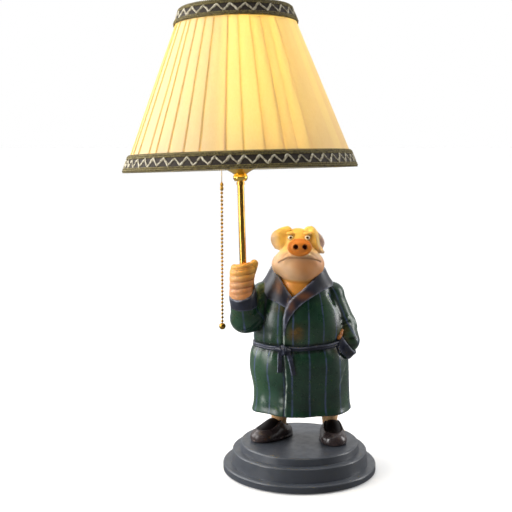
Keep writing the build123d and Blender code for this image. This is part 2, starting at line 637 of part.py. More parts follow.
def build_parts():
    """Every sub-part in place, by node name."""
    parts = {name: STEM_FRAME * shape for name, shape in stem_parts().items()}

    lead, lead_path = lead_tube(LEAD_R)
    channel, _ = lead_tube(LEAD_CHANNEL_R)
    print("lead bend radii", [round(r, 1) for r in bend_radii(lead_route())])
    print("lead volume", round(lead.volume, 1), "section x length",
          round(3.14159 * LEAD_R ** 2 * lead_path.length, 1), "length", round(lead_path.length, 1))
    parts["internal_lead"] = lead

    nipple, nuts, leg_screw = make_nipple(), make_nipple_nuts(), make_leg_screw()
    corners = [(COVER_SCREW_RING_R * cos(radians(a)), COVER_SCREW_RING_R * sin(radians(a))) for a in (45, 135, 225, 315)]
    cover_screws = screws(corners, FELT_T, 13.0, 2.8, 1.6, 0.9)
    nipple_core = Pos(*LEG_RIGHT, 0) * tube(0, NIPPLE_R, *NIPPLE_Z)
    parts["felt_pad"] = tube(0, 88.0, 0, FELT_T)
    parts["bottom_cover"] = tube(0, COVER_R, FELT_T, FELT_T + COVER_T) - cover_screws
    parts["cover_screws"] = cover_screws
    parts["ballast_ring"] = tube(*BALLAST)
    parts["cord_grommet"] = make_grommet()
    parts["terminal_block"] = make_terminal_block()
    parts["plinth"] = make_plinth([cover_screws, nipple_core, leg_screw, make_grommet_pocket()])
    parts["leg_nipple"] = nipple
    parts["nipple_nuts"] = nuts
    parts["leg_screw"] = leg_screw

    leg_right, leg_left = make_leg(LEG_RIGHT), make_leg(LEG_LEFT)
    parts["leg_right"] = leg_right - nipple_core
    parts["leg_left"] = leg_left - leg_screw
    parts["slipper_right"] = make_slipper(LEG_RIGHT, 223.0) - leg_right - nipple_core
    parts["slipper_left"] = make_slipper((LEG_LEFT[0] + 3.0, LEG_LEFT[1]), -88.0) - leg_left - leg_screw

    robe_outer = ellipse_stack(ROBE_ROWS)
    head = ellipse_stack(HEAD_ROWS)
    neck = make_neck() - head
    v_cut = front_prism(V_OUTLINE, (-60, 5))
    parts["robe_body"] = make_robe([neck, head, v_cut, nipple_core, channel])
    parts["neck"] = neck - channel
    parts["head"] = head

    right_arm = limb(RIGHT_ARM, RIGHT_ARM_R) + Pos(-66.2, -26.0, 204.0) * Cylinder(14.3, 12.0)
    fist = make_fist()
    stem_bore = STEM_FRAME * tube(0, STEM_R, -1, 60)
    right_sleeve = right_arm - robe_outer - fist - channel - stem_bore
    parts["sleeve_right"] = right_sleeve
    cuff_base = Plane(origin=(-66.6, -26.2, 197.0), z_dir=(-0.15, -0.1, 1))
    parts["cuff_right"] = make_cuff(cuff_base, 15.4, 16.6, 15.0, [right_arm, fist, robe_outer])
    parts["fist_right"] = fist - stem_bore - channel

    left_arm = limb(LEFT_ARM, LEFT_ARM_R)
    parts["sleeve_left"] = left_arm - robe_outer
    left_cuff_base = Plane(origin=(57.5, -1.0, 151.0), z_dir=(-0.78, -0.2, -0.6))
    cuff_left = make_cuff(left_cuff_base, 16.6, 17.6, 10.0, [left_arm, robe_outer])
    parts["cuff_left"] = cuff_left
    thumb = limb(((48.5, -16.5, 171.0), (45.0, -18.5, 161.5)), (3.4, 4.6))
    parts["hand_left"] = thumb - left_arm - robe_outer - cuff_left

    parts["robe_collar"] = make_collar(robe_outer, [head, neck, right_arm, left_arm])
    knot = make_belt_knot(robe_outer)
    belt = make_belt(robe_outer, [left_arm, right_arm, cuff_left, parts["hand_left"], knot])
    parts["belt"] = belt
    parts["belt_knot"] = knot
    parts["belt_tails"] = make_belt_tails(robe_outer, [belt, knot])

    snout = make_snout() - head
    parts["snout"] = snout
    parts["ear_right"] = lobe((-24.5, -2.0, 279.5), 12.0, 10.0, 4.0, (0, 65, 12)) - head
    parts["ear_left"] = lobe((19.0, -4.0, 278.5), 15.0, 7.5, 4.0, (0, 68, -20)) - head
    eyes = [Pos(x, -12.2, 281.2) * Sphere(2.6) - head - snout for x in (-12.1, 7.4)]
    parts["eyes"] = Compound(children=[solid for eye in eyes for solid in eye.solids()])

    shell = STEM_FRAME * tube(0, HOLDER_R, HOLDER_CAP_TOP, HOLDER_TOP)
    parts["chain_guide"] = make_guide(shell)
    parts["pull_pin"] = make_pin()
    parts["pull_cord"] = Pos(PULL_X, PULL_Y, 0) * tube(0, CORD_R, *CORD_Z)
    parts["chain_coupling"] = make_coupling()
    parts["bead_chain"] = make_bead_chain()
    parts["chain_ball"] = make_ball()
    return parts


def main():
    os.makedirs("parts", exist_ok=True)
    parts = build_parts()
    for name, shape in parts.items():
        export_step(shape, f"parts/{name}.step")
    print(len(parts), "nodes; stem axis", [round(v, 6) for v in STEM_UP])


main()
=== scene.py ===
import math

import bpy
import numpy as np
import openvdb
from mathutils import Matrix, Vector


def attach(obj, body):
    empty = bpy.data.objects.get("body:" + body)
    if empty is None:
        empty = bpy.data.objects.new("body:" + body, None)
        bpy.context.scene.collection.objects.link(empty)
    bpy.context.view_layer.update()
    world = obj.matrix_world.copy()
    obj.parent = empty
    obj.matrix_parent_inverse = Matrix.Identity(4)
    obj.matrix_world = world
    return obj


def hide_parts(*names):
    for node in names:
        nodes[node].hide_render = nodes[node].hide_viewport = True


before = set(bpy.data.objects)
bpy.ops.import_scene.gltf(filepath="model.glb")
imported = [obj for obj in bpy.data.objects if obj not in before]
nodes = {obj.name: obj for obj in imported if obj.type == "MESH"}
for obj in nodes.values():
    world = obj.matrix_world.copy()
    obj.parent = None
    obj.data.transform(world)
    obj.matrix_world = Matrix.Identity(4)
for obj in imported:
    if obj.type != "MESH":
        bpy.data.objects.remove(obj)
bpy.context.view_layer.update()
scene = bpy.context.scene
rng = np.random.default_rng(7)

MM = 0.001

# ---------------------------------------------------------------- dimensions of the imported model, mm
STEM_FOOT = np.array((-66.0, -26.5, 216.0))
STEM_AXIS = np.array((-0.028619, 0.031747, 0.999086))
SHADE_FOOT_S = 142.0
SHADE_TOP_S = 322.0
SHADE_FOOT_R = 132.0
SHADE_TOP_R = 62.0
BOTTOM_TRIM = (143.2, 161.0)
TOP_TRIM = (305.0, 322.0)
BULB_S = 226.0
SHADE_SLOPE = (SHADE_TOP_R - SHADE_FOOT_R) / (SHADE_TOP_S - SHADE_FOOT_S)
PULL = (-91.2, -21.1)
CORD_Z = (344.5, 375.7)
CORD_RADIUS = 0.45
COUPLING_Z = 334.3
BELT_Z = 152.8
BELT_RISE = math.tan(math.radians(3.0))
# height, centre x, centre y, half width, half depth
ROBE_ROWS = np.array((
    (68.0, 2.0, 5.0, 58.9, 42.3), (72.5, 2.0, 5.0, 58.5, 42.0), (98.0, 2.0, 5.0, 57.3, 41.0),
    (126.0, -0.5, 5.0, 59.2, 42.5), (141.0, -0.5, 5.0, 58.0, 41.5), (155.0, -0.5, 5.0, 53.5, 38.0),
    (177.0, -1.0, 5.0, 53.5, 38.5), (197.0, -2.0, 5.0, 51.0, 36.0), (213.0, -2.5, 5.0, 45.0, 32.5),
    (226.0, -3.0, 5.0, 36.0, 27.0), (234.0, -3.0, 5.0, 25.0, 21.0), (242.0, -3.0, 5.0, 16.0, 14.0)))
HEM_Z = 72.5
# half width, half depth and centre of the ellipse that the robe's stripes are measured round
ROBE_HALF = (58.0, 42.0)
ROBE_Y = 5.0

# ---------------------------------------------------------------- camera: mm, m and degrees
CAMERA_LENS = 65.39
CAMERA_PLACE = (-0.0521, -1.0851, 0.3883)
CAMERA_PITCH = 83.09


# ================================================================ camera
def make_camera():
    data = bpy.data.cameras.new("camera")
    data.lens = CAMERA_LENS
    data.sensor_width = 36.0
    camera = bpy.data.objects.new("camera", data)
    camera.location = CAMERA_PLACE
    camera.rotation_euler = (math.radians(CAMERA_PITCH), 0.0, 0.0)
    scene.collection.objects.link(camera)
    scene.camera = camera


# ================================================================ mesh helpers
def add_values(mesh, values):
    """Point attributes that the materials read, each an array or one number for all points."""
    for key, numbers in values.items():
        layer = mesh.attributes.new(key, "FLOAT", "POINT")
        layer.data.foreach_set("value", np.full(len(mesh.vertices), numbers, np.float32))


def make_mesh(name, points, faces, smooth=True, attributes=None):
    """An object from points in mm and faces, which are one array of quads or a list."""
    mesh = bpy.data.meshes.new(name)
    points = np.asarray(points, float) * MM
    if isinstance(faces, np.ndarray):
        mesh.vertices.add(len(points))
        mesh.vertices.foreach_set("co", points.astype(np.float32).ravel())
        sides = faces.shape[1]
        mesh.loops.add(faces.size)
        mesh.loops.foreach_set("vertex_index", faces.astype(np.int32).ravel())
        mesh.polygons.add(len(faces))
        mesh.polygons.foreach_set("loop_start", np.arange(0, faces.size, sides, dtype=np.int32))
        mesh.update(calc_edges=True)
        mesh.validate()
    else:
        mesh.from_pydata(points.tolist(), [], faces)
    if smooth:
        mesh.shade_smooth()
    add_values(mesh, attributes or {})
    obj = bpy.data.objects.new(name, mesh)
    scene.collection.objects.link(obj)
    return obj


def add_piece(obj, body, material, slot, *replaced):
    obj.data.materials.append(material)
    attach(obj, body)
    if replaced:
        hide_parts(*replaced)
    return obj


def full_turn(count):
    """Angles in radians of count even steps round a circle."""
    return np.arange(count) / count * 2 * np.pi


def grid_faces(rows, columns, wrap_rows=False):
    """Quads of a grid of points stored row by row; each row is a closed ring."""
    i = np.arange(rows if wrap_rows else rows - 1)
    j = np.arange(columns)
    a, b = np.meshgrid(i, j, indexing="ij")
    a, b = a.ravel(), b.ravel()
    a2, b2 = (a + 1) % rows, (b + 1) % columns
    return np.stack((a * columns + b, a * columns + b2, a2 * columns + b2, a2 * columns + b), axis=1)


def basis(axis):
    """Two unit vectors square to axis, the first nearest to +X."""
    axis = np.asarray(axis, float) / np.linalg.norm(axis)
    hint = np.array((1.0, 0, 0)) if abs(axis[0]) < 0.9 else np.array((0, 1.0, 0))
    first = hint - axis * (hint @ axis)
    first /= np.linalg.norm(first)
    return first, np.cross(axis, first), axis


def lathe(name, outline, origin, axis, columns=64, wobble=None):
    """Surface of revolution from (radius, height) points; wobble scales its radius by turn and height."""
    first, second, axis = basis(axis)
    turn = full_turn(columns)
    around = np.outer(np.cos(turn), first) + np.outer(np.sin(turn), second)
    rows = []
    for radius, height in outline:
        scale = 1.0 if wobble is None else wobble(turn, height)[:, None]
        rows.append(np.asarray(origin) + axis * height + around * max(radius, 0.01) * scale)
    return make_mesh(name, np.concatenate(rows), grid_faces(len(outline), columns))


def curve_frames(points, closed, up=(0, 0, 1)):
    """Unit side and top vectors along a line of points."""
    points = np.asarray(points, float)
    if closed:
        ahead = np.roll(points, -1, 0) - np.roll(points, 1, 0)
    else:
        ahead = np.gradient(points, axis=0)
    ahead /= np.linalg.norm(ahead, axis=1)[:, None]
    side = np.cross(ahead, np.asarray(up, float))
    side /= np.linalg.norm(side, axis=1)[:, None]
    return side, np.cross(side, ahead)


def round_cord(line, radii, sides, up, closed=True):
    """Points and quads of a cord along line with a radius that changes along it."""
    side, top = curve_frames(line, closed, up)
    turn = full_turn(sides)
    rings = line[:, None] + radii[:, None, None] * (
        side[:, None] * np.cos(turn)[None, :, None] + top[:, None] * np.sin(turn)[None, :, None])
    return rings.reshape(-1, 3), grid_faces(len(line), sides, closed)


def joined(parts):
    """One array of points and one of faces from several."""
    points, faces, start = [], [], 0
    for p, f in parts:
        points.append(p)
        faces.append(f + start)
        start += len(p)
    return np.concatenate(points), np.concatenate(faces)


def scattered(template, faces, places):
    """One array of points and quads from a template repeated at 4x3 places (three axes and an origin)."""
    places = np.asarray(places, float)
    points = np.einsum("vk,nkc->nvc", template, places[:, :3]) + places[:, None, 3]
    shift = np.arange(len(places))[:, None, None] * len(template)
    return points.reshape(-1, 3), (faces[None] + shift).reshape(-1, faces.shape[1])


def ball_template(rings, columns):
    """Unit ball of quads, with a tiny ring at each pole."""
    lift = np.linspace(-0.498, 0.498, rings) * np.pi
    points = [(math.cos(a) * math.cos(b), math.cos(a) * math.sin(b), math.sin(a))
              for a in lift for b in full_turn(columns)]
    return np.array(points), grid_faces(rings, columns)


# ================================================================ sculpting in a distance field, mm
def smooth_rows(heights, rows):
    """Cubic curve through the rows at the given heights."""
    z, out = rows[:, 0], []
    for column in rows.T[1:]:
        slope = np.gradient(column, z)
        i = np.clip(np.searchsorted(z, heights) - 1, 0, len(z) - 2)
        step = z[i + 1] - z[i]
        t = np.clip((heights - z[i]) / step, 0, 1)
        out.append((2 * t**3 - 3 * t**2 + 1) * column[i] + (t**3 - 2 * t**2 + t) * step * slope[i]
                   + (3 * t**2 - 2 * t**3) * column[i + 1] + (t**3 - t**2) * step * slope[i + 1])
    return out


def curved(points, count):
    """count points along a smooth curve through the given ones."""
    table = np.concatenate((np.arange(len(points))[:, None], np.asarray(points, float)), axis=1)
    return np.stack(smooth_rows(np.linspace(0, len(points) - 1, count), table), axis=1)


def bell(value, width):
    """1 where value is 0, fading over width to both sides."""
    return np.exp(-((value / width) ** 2))


def spot(x, z, centre, size):
    """1 at the centre of an upright oval, fading over its half width and half height."""
    return np.exp(-(((x - centre[0]) / size[0]) ** 2) - ((z - centre[1]) / size[1]) ** 2)


def spots(x, z, rows):
    """Sum of ovals from rows of centre, half width and height, and strength."""
    return sum(strength * spot(x, z, centre, size) for centre, size, strength in rows)


def soft_min(a, b, k):
    h = np.clip(0.5 + 0.5 * (a - b) / k, 0, 1)
    return a + (b - a) * h - k * h * (1 - h)


def soft_max(a, b, k):
    return -soft_min(-a, -b, k)


def step_up(x, low, high):
    t = np.clip((x - low) / (high - low), 0, 1)
    return t * t * (3 - 2 * t)


def stack_field(p, rows, extra=0.0):
    """Distance to a stack of ellipses whose centres and sizes follow rows."""
    cx, cy, rx, ry = (v.astype(np.float32) for v in smooth_rows(p[2], rows))
    rx, ry = rx + extra, ry + extra
    dx, dy = p[0] - cx, p[1] - cy
    k0 = np.sqrt((dx / rx) ** 2 + (dy / ry) ** 2)
    k1 = np.sqrt((dx / rx**2) ** 2 + (dy / ry**2) ** 2) + 1e-6
    return k0 * (k0 - 1) / k1


def ellipsoid_field(p, centre, radii):
    q = [p[i] - centre[i] for i in range(3)]
    k0 = np.sqrt(sum((q[i] / radii[i]) ** 2 for i in range(3)))
    k1 = np.sqrt(sum((q[i] / radii[i] ** 2) ** 2 for i in range(3))) + 1e-6
    return k0 * (k0 - 1) / k1


def line_field(p, a, b, ra, rb):
    """Distance to a round bar from a to b whose radius goes from ra to rb."""
    a, b = np.asarray(a, float), np.asarray(b, float)
    ab = b - a
    t = np.clip(sum((p[i] - a[i]) * ab[i] for i in range(3)) / (ab @ ab), 0, 1)
    return np.sqrt(sum((p[i] - a[i] - ab[i] * t) ** 2 for i in range(3))) - (ra + (rb - ra) * t)


def path_field(p, points, radii=None):
    """Distance to a line through points, less its radius where radii are given."""
    radii = [0.0] * len(points) if radii is None else radii
    best = None
    for a, b, ra, rb in zip(points, points[1:], radii, radii[1:]):
        part = line_field(p, a, b, ra, rb)
        best = part if best is None else np.minimum(best, part)
    return best


def outline_field(x, z, corners):
    """Signed distance in the XZ plane to a polygon, negative inside."""
    x, z = np.broadcast_arrays(x, z)
    best = np.full(x.shape, 1e9, np.float32)
    inside = np.zeros(x.shape, bool)
    for (x0, z0), (x1, z1) in zip(corners, corners[1:] + corners[:1]):
        ex, ez = x1 - x0, z1 - z0
        t = np.clip(((x - x0) * ex + (z - z0) * ez) / (ex * ex + ez * ez), 0, 1)
        best = np.minimum(best, (x - x0 - ex * t) ** 2 + (z - z0 - ez * t) ** 2)
        if z0 != z1:
            inside ^= ((z0 > z) != (z1 > z)) & (x < ex * (z - z0) / ez + x0)
    return np.sqrt(best) * np.where(inside, -1, 1)


class Clay:
    """A block of samples that shapes are added to and cut from, then skinned with a mesh.
    """

    def __init__(self, low, high, fine, quick):
        step = fine
        self.low, self.step = np.array(low, float), step
        counts = [int((h - l) / step) + 1 for l, h in zip(low, high)]
        axes = [(l + step * np.arange(n)).astype(np.float32) for l, n in zip(low, counts)]
        self.p = np.meshgrid(*axes, indexing="ij", sparse=True)
        self.value = np.full(counts, 20.0, np.float32)

    def window(self, low, high):
        """The part of the block from low to high: where it is stored, and its coordinates."""
        cut = []
        for axis in range(3):
            n = self.value.shape[axis]
            a = int((low[axis] - self.low[axis]) / self.step)
            b = int((high[axis] - self.low[axis]) / self.step) + 2
            cut.append(slice(max(0, min(n - 1, a)), max(1, min(n, b))))
        p = [self.p[0][cut[0]], self.p[1][:, cut[1]], self.p[2][:, :, cut[2]]]
        return tuple(cut), p

    def around(self, points, reach):
        points = np.asarray(points, float)
        return self.window(points.min(0) - reach, points.max(0) + reach)

    def add_ellipsoid(self, centre, radii, k, cut=False):
        where, p = self.around([centre], max(radii) + 2 * k + 1)
        self.merge(where, ellipsoid_field(p, centre, radii), k, cut)

    def add_limb(self, points, radii, k, cut=False, join=0.01):
        """Round-ended limb through points; all of it is one shape before it is merged."""
        where, p = self.around(points, max(radii) + 2 * k + 1)
        shape = None
        for a, b, ra, rb in zip(points, points[1:], radii, radii[1:]):
            part = line_field(p, a, b, ra, rb)
            shape = part if shape is None else soft_min(shape, part, join)
        self.merge(where, shape, k, cut)

    def merge(self, where, shape, k, cut=False):
        """Adds a distance field to the block, or cuts it away, with k mm of blend."""
        old = self.value[where]
        self.value[where] = soft_max(old, -shape, k) if cut else soft_min(old, shape, k)

    def on_front(self, places):
        """Points of the surface that face the front at the given x and z."""
        out = []
        for x, z in places:
            i = round((x - self.low[0]) / self.step)
            j = round((z - self.low[2]) / self.step)
            column = self.value[i, :, j]
            first = int(np.argmax(column < 0))
            share = column[first - 1] / (column[first - 1] - column[first])
            out.append((x, self.low[1] + (first - 1 + share) * self.step, z))
        return out

    def ridge(self, points, width, height):
        """Raises (or with a negative height sinks) the surface along a line."""
        where, p = self.around(points, 3 * width)
        self.value[where] -= height * bell(path_field(p, points), width)

    def ridges(self, rows):
        for points, width, height in rows:
            self.ridge(points, width, height)

    def add_ellipsoids(self, rows):
        for centre, radii, k in rows:
            self.add_ellipsoid(centre, radii, k)

    def skin(self):
        """Points (mm) and quads of the surface."""
        limit = 3 * self.step
        grid = openvdb.FloatGrid(limit)
        grid.copyFromArray(np.clip(self.value, -limit, limit))
        points, quads = grid.convertToQuads(0.0)
        return points * self.step + self.low, quads[:, ::-1].astype(np.int64)


# ================================================================ materials
class Looks:
    """Builds the nodes of one material or of the world; its methods return output sockets."""

    def __init__(self, name, world=False):
        self.owner = (bpy.data.worlds if world else bpy.data.materials).new(name)
        self.owner.use_nodes = True
        self.tree = self.owner.node_tree
        self.tree.nodes.clear()
        self.out = self.tree.nodes.new("ShaderNodeOutputWorld" if world else "ShaderNodeOutputMaterial")

    def node(self, kind, inputs=None, **settings):
        node = self.tree.nodes.new(kind)
        for key, value in settings.items():
            setattr(node, key, value)
        for key, value in (inputs or {}).items():
            self.feed(node.inputs[key], value)
        return node

    def feed(self, socket, value):
        if isinstance(value, bpy.types.NodeSocket):
            self.tree.links.new(value, socket)
        else:
            socket.default_value = value

    def place(self):
        return self.node("ShaderNodeTexCoord").outputs["Object"]

    def attribute(self, name):
        return self.node("ShaderNodeAttribute", attribute_name=name).outputs["Fac"]

    def noise(self, scale, detail=3.0, vector=None):
        """Noise whose scale is in features a metre."""
        inputs = {"Vector": vector or self.place(), "Scale": scale, "Detail": detail, "Roughness": 0.55}
        return self.node("ShaderNodeTexNoise", inputs).outputs["Fac"]

    def stretched(self, scales):
        return self.node("ShaderNodeMapping", {"Vector": self.place(), "Scale": scales}).outputs["Vector"]

    def math(self, kind, a, b):
        return self.node("ShaderNodeMath", {0: a, 1: b}, operation=kind).outputs[0]

    def span(self, value, low, high, to_low=0.0, to_high=1.0):
        """Smooth step of value from low to high."""
        inputs = {"Value": value, "From Min": low, "From Max": high, "To Min": to_low, "To Max": to_high}
        return self.node("ShaderNodeMapRange", inputs, interpolation_type="SMOOTHSTEP").outputs["Result"]

    def mix(self, factor, a, b):
        return self.node("ShaderNodeMix", {0: factor, 6: a, 7: b}, data_type="RGBA").outputs[2]

    def mottle(self, scale, detail, a, b):
        """Soft patches of two colours."""
        return self.mix(self.span(self.noise(scale, detail), 0.35, 0.7), a, b)

    def either(self, factor, a, b):
        """Shader a where factor is 0, b where it is 1."""
        return self.node("ShaderNodeMixShader", {0: factor, 1: a, 2: b}).outputs[0]

    def seen_directly(self):
        return self.node("ShaderNodeLightPath").outputs["Is Camera Ray"]

    def bump(self, height, strength, distance):
        return self.node("ShaderNodeBump", {"Height": height, "Strength": strength,
                                            "Distance": distance}).outputs["Normal"]

    def principled(self, **inputs):
        named = {key.replace("_", " ").title().replace("Ior", "IOR"): value for key, value in inputs.items()}
        return self.node("ShaderNodeBsdfPrincipled", named).outputs[0]

    def finish(self, shader):
        self.tree.links.new(shader, self.out.inputs["Surface"])
        return self.owner


def rgb(red, green, blue):
    """sRGB 0-255 as a linear colour."""
    def linear(v):
        v /= 255
        return v / 12.92 if v <= 0.04045 else ((v + 0.055) / 1.055) ** 2.4
    return (linear(red), linear(green), linear(blue), 1.0)


def painted(name, colour, other, roughness, grain=260.0, bump=0.00012, share=0.5, shine=0.5):
    """Brushed resin paint: two close tones, uneven gloss and a faint brush texture."""
    k = Looks(name)
    tone = k.span(k.noise(38.0, 4.0), 0.35, 0.7)
    base = k.mix(k.math("MULTIPLY", tone, share), colour, other)
    rough = k.span(k.noise(90.0), 0.3, 0.7, roughness - 0.06, roughness + 0.07)
    normal = k.bump(k.noise(grain, 4.0), 0.35, bump)
    shader = k.principled(base_color=base, roughness=rough, normal=normal, specular_ior_level=shine)
    return k.finish(shader)


def metal(name, colour, other, roughness):
    k = Looks(name)
    tone = k.span(k.noise(70.0, 4.0), 0.4, 0.7)
    base = k.mix(k.math("MULTIPLY", tone, 0.5), colour, other)
    rough = k.span(k.noise(300.0), 0.3, 0.7, roughness - 0.05, roughness + 0.06)
    normal = k.bump(k.noise(900.0, 2.0), 0.12, 0.00004)
    return k.finish(k.principled(base_color=base, metallic=1.0, roughness=rough, normal=normal))


def moulded(name, colour, other, roughness):
    k = Looks(name)
    base = k.mottle(60.0, 3.0, colour, other)
    rough = k.span(k.noise(240.0), 0.3, 0.7, roughness - 0.05, roughness + 0.05)
    normal = k.bump(k.noise(1400.0, 2.0), 0.2, 0.00006)
    return k.finish(k.principled(base_color=base, roughness=rough, normal=normal))


def robe_paint():
    """Dark green with blue-grey pinstripes that follow the cloth, with painted shade in the creases, painted
    highlights on edges and folds, and ochre patches that are partly stain and partly the lamp's warm
    reflection painted in.
    """
    k = Looks("robe_green")
    green = k.mottle(30.0, 4.0, rgb(20, 48, 34), rgb(34, 72, 52))
    green = k.mix(k.math("MULTIPLY", k.span(k.noise(14.0, 2.0), 0.45, 0.7), 0.35), green, rgb(58, 84, 50))
    # ochre patches: partly stains, partly the lamp's warm reflection painted in
    warm_reflection_and_stain = k.math("MULTIPLY", k.attribute("warm"), k.span(k.noise(70.0), 0.3, 0.65))
    green = k.mix(warm_reflection_and_stain, green, rgb(124, 88, 26))
    lines = []
    for name in ("stripe_body", "stripe_right", "stripe_left"):
        across = k.attribute(name)
        wander = k.math("MULTIPLY", k.math("SUBTRACT", k.noise(45.0, 1.0), 0.5), 1.6)
        phase = k.math("PINGPONG", k.math("ADD", across, wander), 10.0)
        lines.append(k.span(phase, 0.75, 1.35, 1.0, 0.0))
    right = k.mix(k.attribute("is_right"), lines[0], lines[1])
    line = k.mix(k.attribute("is_left"), right, lines[2])
    worn = k.span(k.noise(110.0), 0.32, 0.62, 0.25, 0.95)
    base = k.mix(k.math("MULTIPLY", line, worn), green, rgb(72, 86, 118))
    # painted shade: creases, folds and the skirt's middle darkened
    base = k.mix(k.attribute("painted_shade"), base, rgb(6, 13, 11))
    # painted highlights: edges and folds that face the light, lightened
    painted_highlight = k.math("MULTIPLY", k.attribute("edge"), k.span(k.noise(90.0), 0.38, 0.6, 0.1, 1.0))
    base = k.mix(painted_highlight, base, rgb(206, 216, 208))
    rough = k.span(k.noise(80.0), 0.3, 0.7, 0.24, 0.36)
    normal = k.bump(k.noise(420.0, 4.0), 0.3, 0.00016)
    return k.finish(k.principled(base_color=base, roughness=rough, normal=normal))


def trim_paint():
    """Navy-charcoal trim with painted highlights on its edges and painted warm reflections of the lamp."""
    k = Looks("robe_trim_navy")
    base = k.mottle(40.0, 4.0, rgb(20, 24, 38), rgb(44, 49, 68))
    # painted warm reflection of the lamp
    base = k.mix(k.math("MULTIPLY", k.attribute("warm"), 0.75), base, rgb(142, 88, 44))
    # painted highlights along the edges
    edge_highlight = k.math("MULTIPLY", k.attribute("edge"), k.span(k.noise(140.0), 0.35, 0.65, 0.25, 1.0))
    base = k.mix(edge_highlight, base, rgb(150, 156, 178))
    rough = k.span(k.noise(80.0), 0.3, 0.7, 0.34, 0.48)
    normal = k.bump(k.noise(420.0, 4.0), 0.35, 0.00018)
    return k.finish(k.principled(base_color=base, roughness=rough, normal=normal))


def skin_paint():
    """Peach skin: glow paints the lamp's yellow light from above, hot is orange that also paints shade on the
    right of the jaw, lilac paints cool shade and a pale highlight on the ears, and dark paints brown shade in
    creases and recesses.
    """
    k = Looks("skin_peach")
    base = k.mottle(26.0, 3.0, rgb(232, 196, 154), rgb(216, 170, 124))
    washes = {"glow": rgb(238, 194, 92), "hot": rgb(228, 130, 34), "lilac": rgb(196, 176, 186),
              "dark": rgb(104, 48, 18)}
    for name, colour in washes.items():
        base = k.mix(k.attribute(name), base, colour)
    rough = k.span(k.noise(120.0), 0.3, 0.7, 0.4, 0.52)
    normal = k.bump(k.noise(520.0, 4.0), 0.3, 0.00012)
    return k.finish(k.principled(base_color=base, roughness=rough, normal=normal,
                                 subsurface_weight=0.06, subsurface_scale=0.003))


def eye_paint():
    """White almond with a dark rim and pupil; the attribute out runs from 0 at the pupil to 1 at the rim."""
    k = Looks("eye_white")
    out = k.attribute("out")
    base = k.mix(k.span(out, 0.3, 0.38), rgb(40, 28, 20), rgb(240, 236, 222))
    base = k.mix(k.span(out, 0.86, 0.93), base, rgb(128, 88, 34))
    base = k.mix(k.math("MULTIPLY", k.noise(200.0), 0.12), base, rgb(200, 180, 150))
    return k.finish(k.principled(base_color=base, roughness=0.22))


def cloth_paint(name, colour, other, through, deeper, share):
    """Thin cloth with a fine weave that lets light through; the attribute tone is its depth of colour."""
    k = Looks(name)
    slub = k.noise(620.0, vector=k.stretched((1.0, 1.0, 0.12)))
    base = k.mix(k.span(slub, 0.3, 0.7), colour, other)
    normal = k.bump(k.noise(1500.0, 2.0), 0.25, 0.00008)
    front = k.principled(base_color=base, roughness=0.62, normal=normal)
    passed = k.mix(k.attribute("tone"), through, deeper)
    back = k.node("ShaderNodeBsdfTranslucent", {"Color": passed, "Normal": normal}).outputs[0]
    return k.finish(k.either(share, front, back))


def thread_paint(name, colour, other, roughness=0.75, scale=900.0):
    k = Looks(name)
    base = k.mix(k.span(k.noise(scale, 2.0), 0.35, 0.65), colour, other)
    normal = k.bump(k.noise(scale * 1.6, 2.0), 0.6, 0.0002)
    return k.finish(k.principled(base_color=base, roughness=roughness, normal=normal, sheen_weight=0.05))


def glass_paint():
    k = Looks("bulb_frosted")
    tone = k.mix(k.span(k.noise(40.0), 0.3, 0.7), rgb(255, 236, 200), rgb(255, 228, 184))
    return k.finish(k.principled(base_color=tone, roughness=0.3, emission_color=(1.0, 0.78, 0.42, 1.0),
                                 emission_strength=4.0))


make_camera()

BRASS = metal("polished_brass", rgb(204, 158, 78), rgb(160, 114, 48), 0.2)
# the knop and the cup take a brighter brass that paints the lamp's light on them
LAMPLIT_BRASS = metal("lamplit_brass", rgb(246, 208, 104), rgb(226, 178, 74), 0.16)
CHAIN_BRASS = metal("chain_brass", rgb(190, 150, 74), rgb(126, 92, 38), 0.3)
STEEL = metal("plain_steel", rgb(150, 152, 156), rgb(120, 122, 126), 0.35)
WHITE_WIRE = painted("white_wire_enamel", rgb(232, 230, 222), rgb(214, 210, 200), 0.35)
ROBE = robe_paint()
TRIM = trim_paint()
SKIN = skin_paint()
EYE = eye_paint()
SLIPPER = painted("slipper_black", rgb(50, 41, 41), rgb(70, 57, 56), 0.28, share=0.8)
VAMP = painted("slipper_vamp", rgb(12, 8, 8), rgb(22, 14, 14), 0.5, share=0.8, shine=0.15)
PLINTH = painted("plinth_slate", rgb(64, 68, 75), rgb(74, 78, 86), 0.34, grain=700.0, bump=0.00008)
PLEATS = cloth_paint("pleated_cloth", rgb(250, 236, 206), rgb(244, 228, 192), (1.0, 0.88, 0.3, 1.0),
                     (0.86, 0.64, 0.24, 1.0), 0.55)
LINING = cloth_paint("shade_lining", rgb(248, 240, 220), rgb(240, 230, 206), (1.0, 0.96, 0.8, 1.0),
                     (1.0, 0.96, 0.8, 1.0), 0.6)
BRAID_OLIVE = thread_paint("braid_olive", rgb(132, 118, 66), rgb(70, 60, 30), scale=600.0)
BRAID_BROWN = thread_paint("braid_brown", rgb(50, 36, 20), rgb(28, 19, 11))
BRAID_CREAM = thread_paint("braid_cream", rgb(214, 206, 182), rgb(150, 138, 110), scale=420.0)
CORD = thread_paint("pull_cord_cotton", rgb(214, 196, 150), rgb(186, 164, 116), scale=2200.0)
BULB_GLASS = glass_paint()


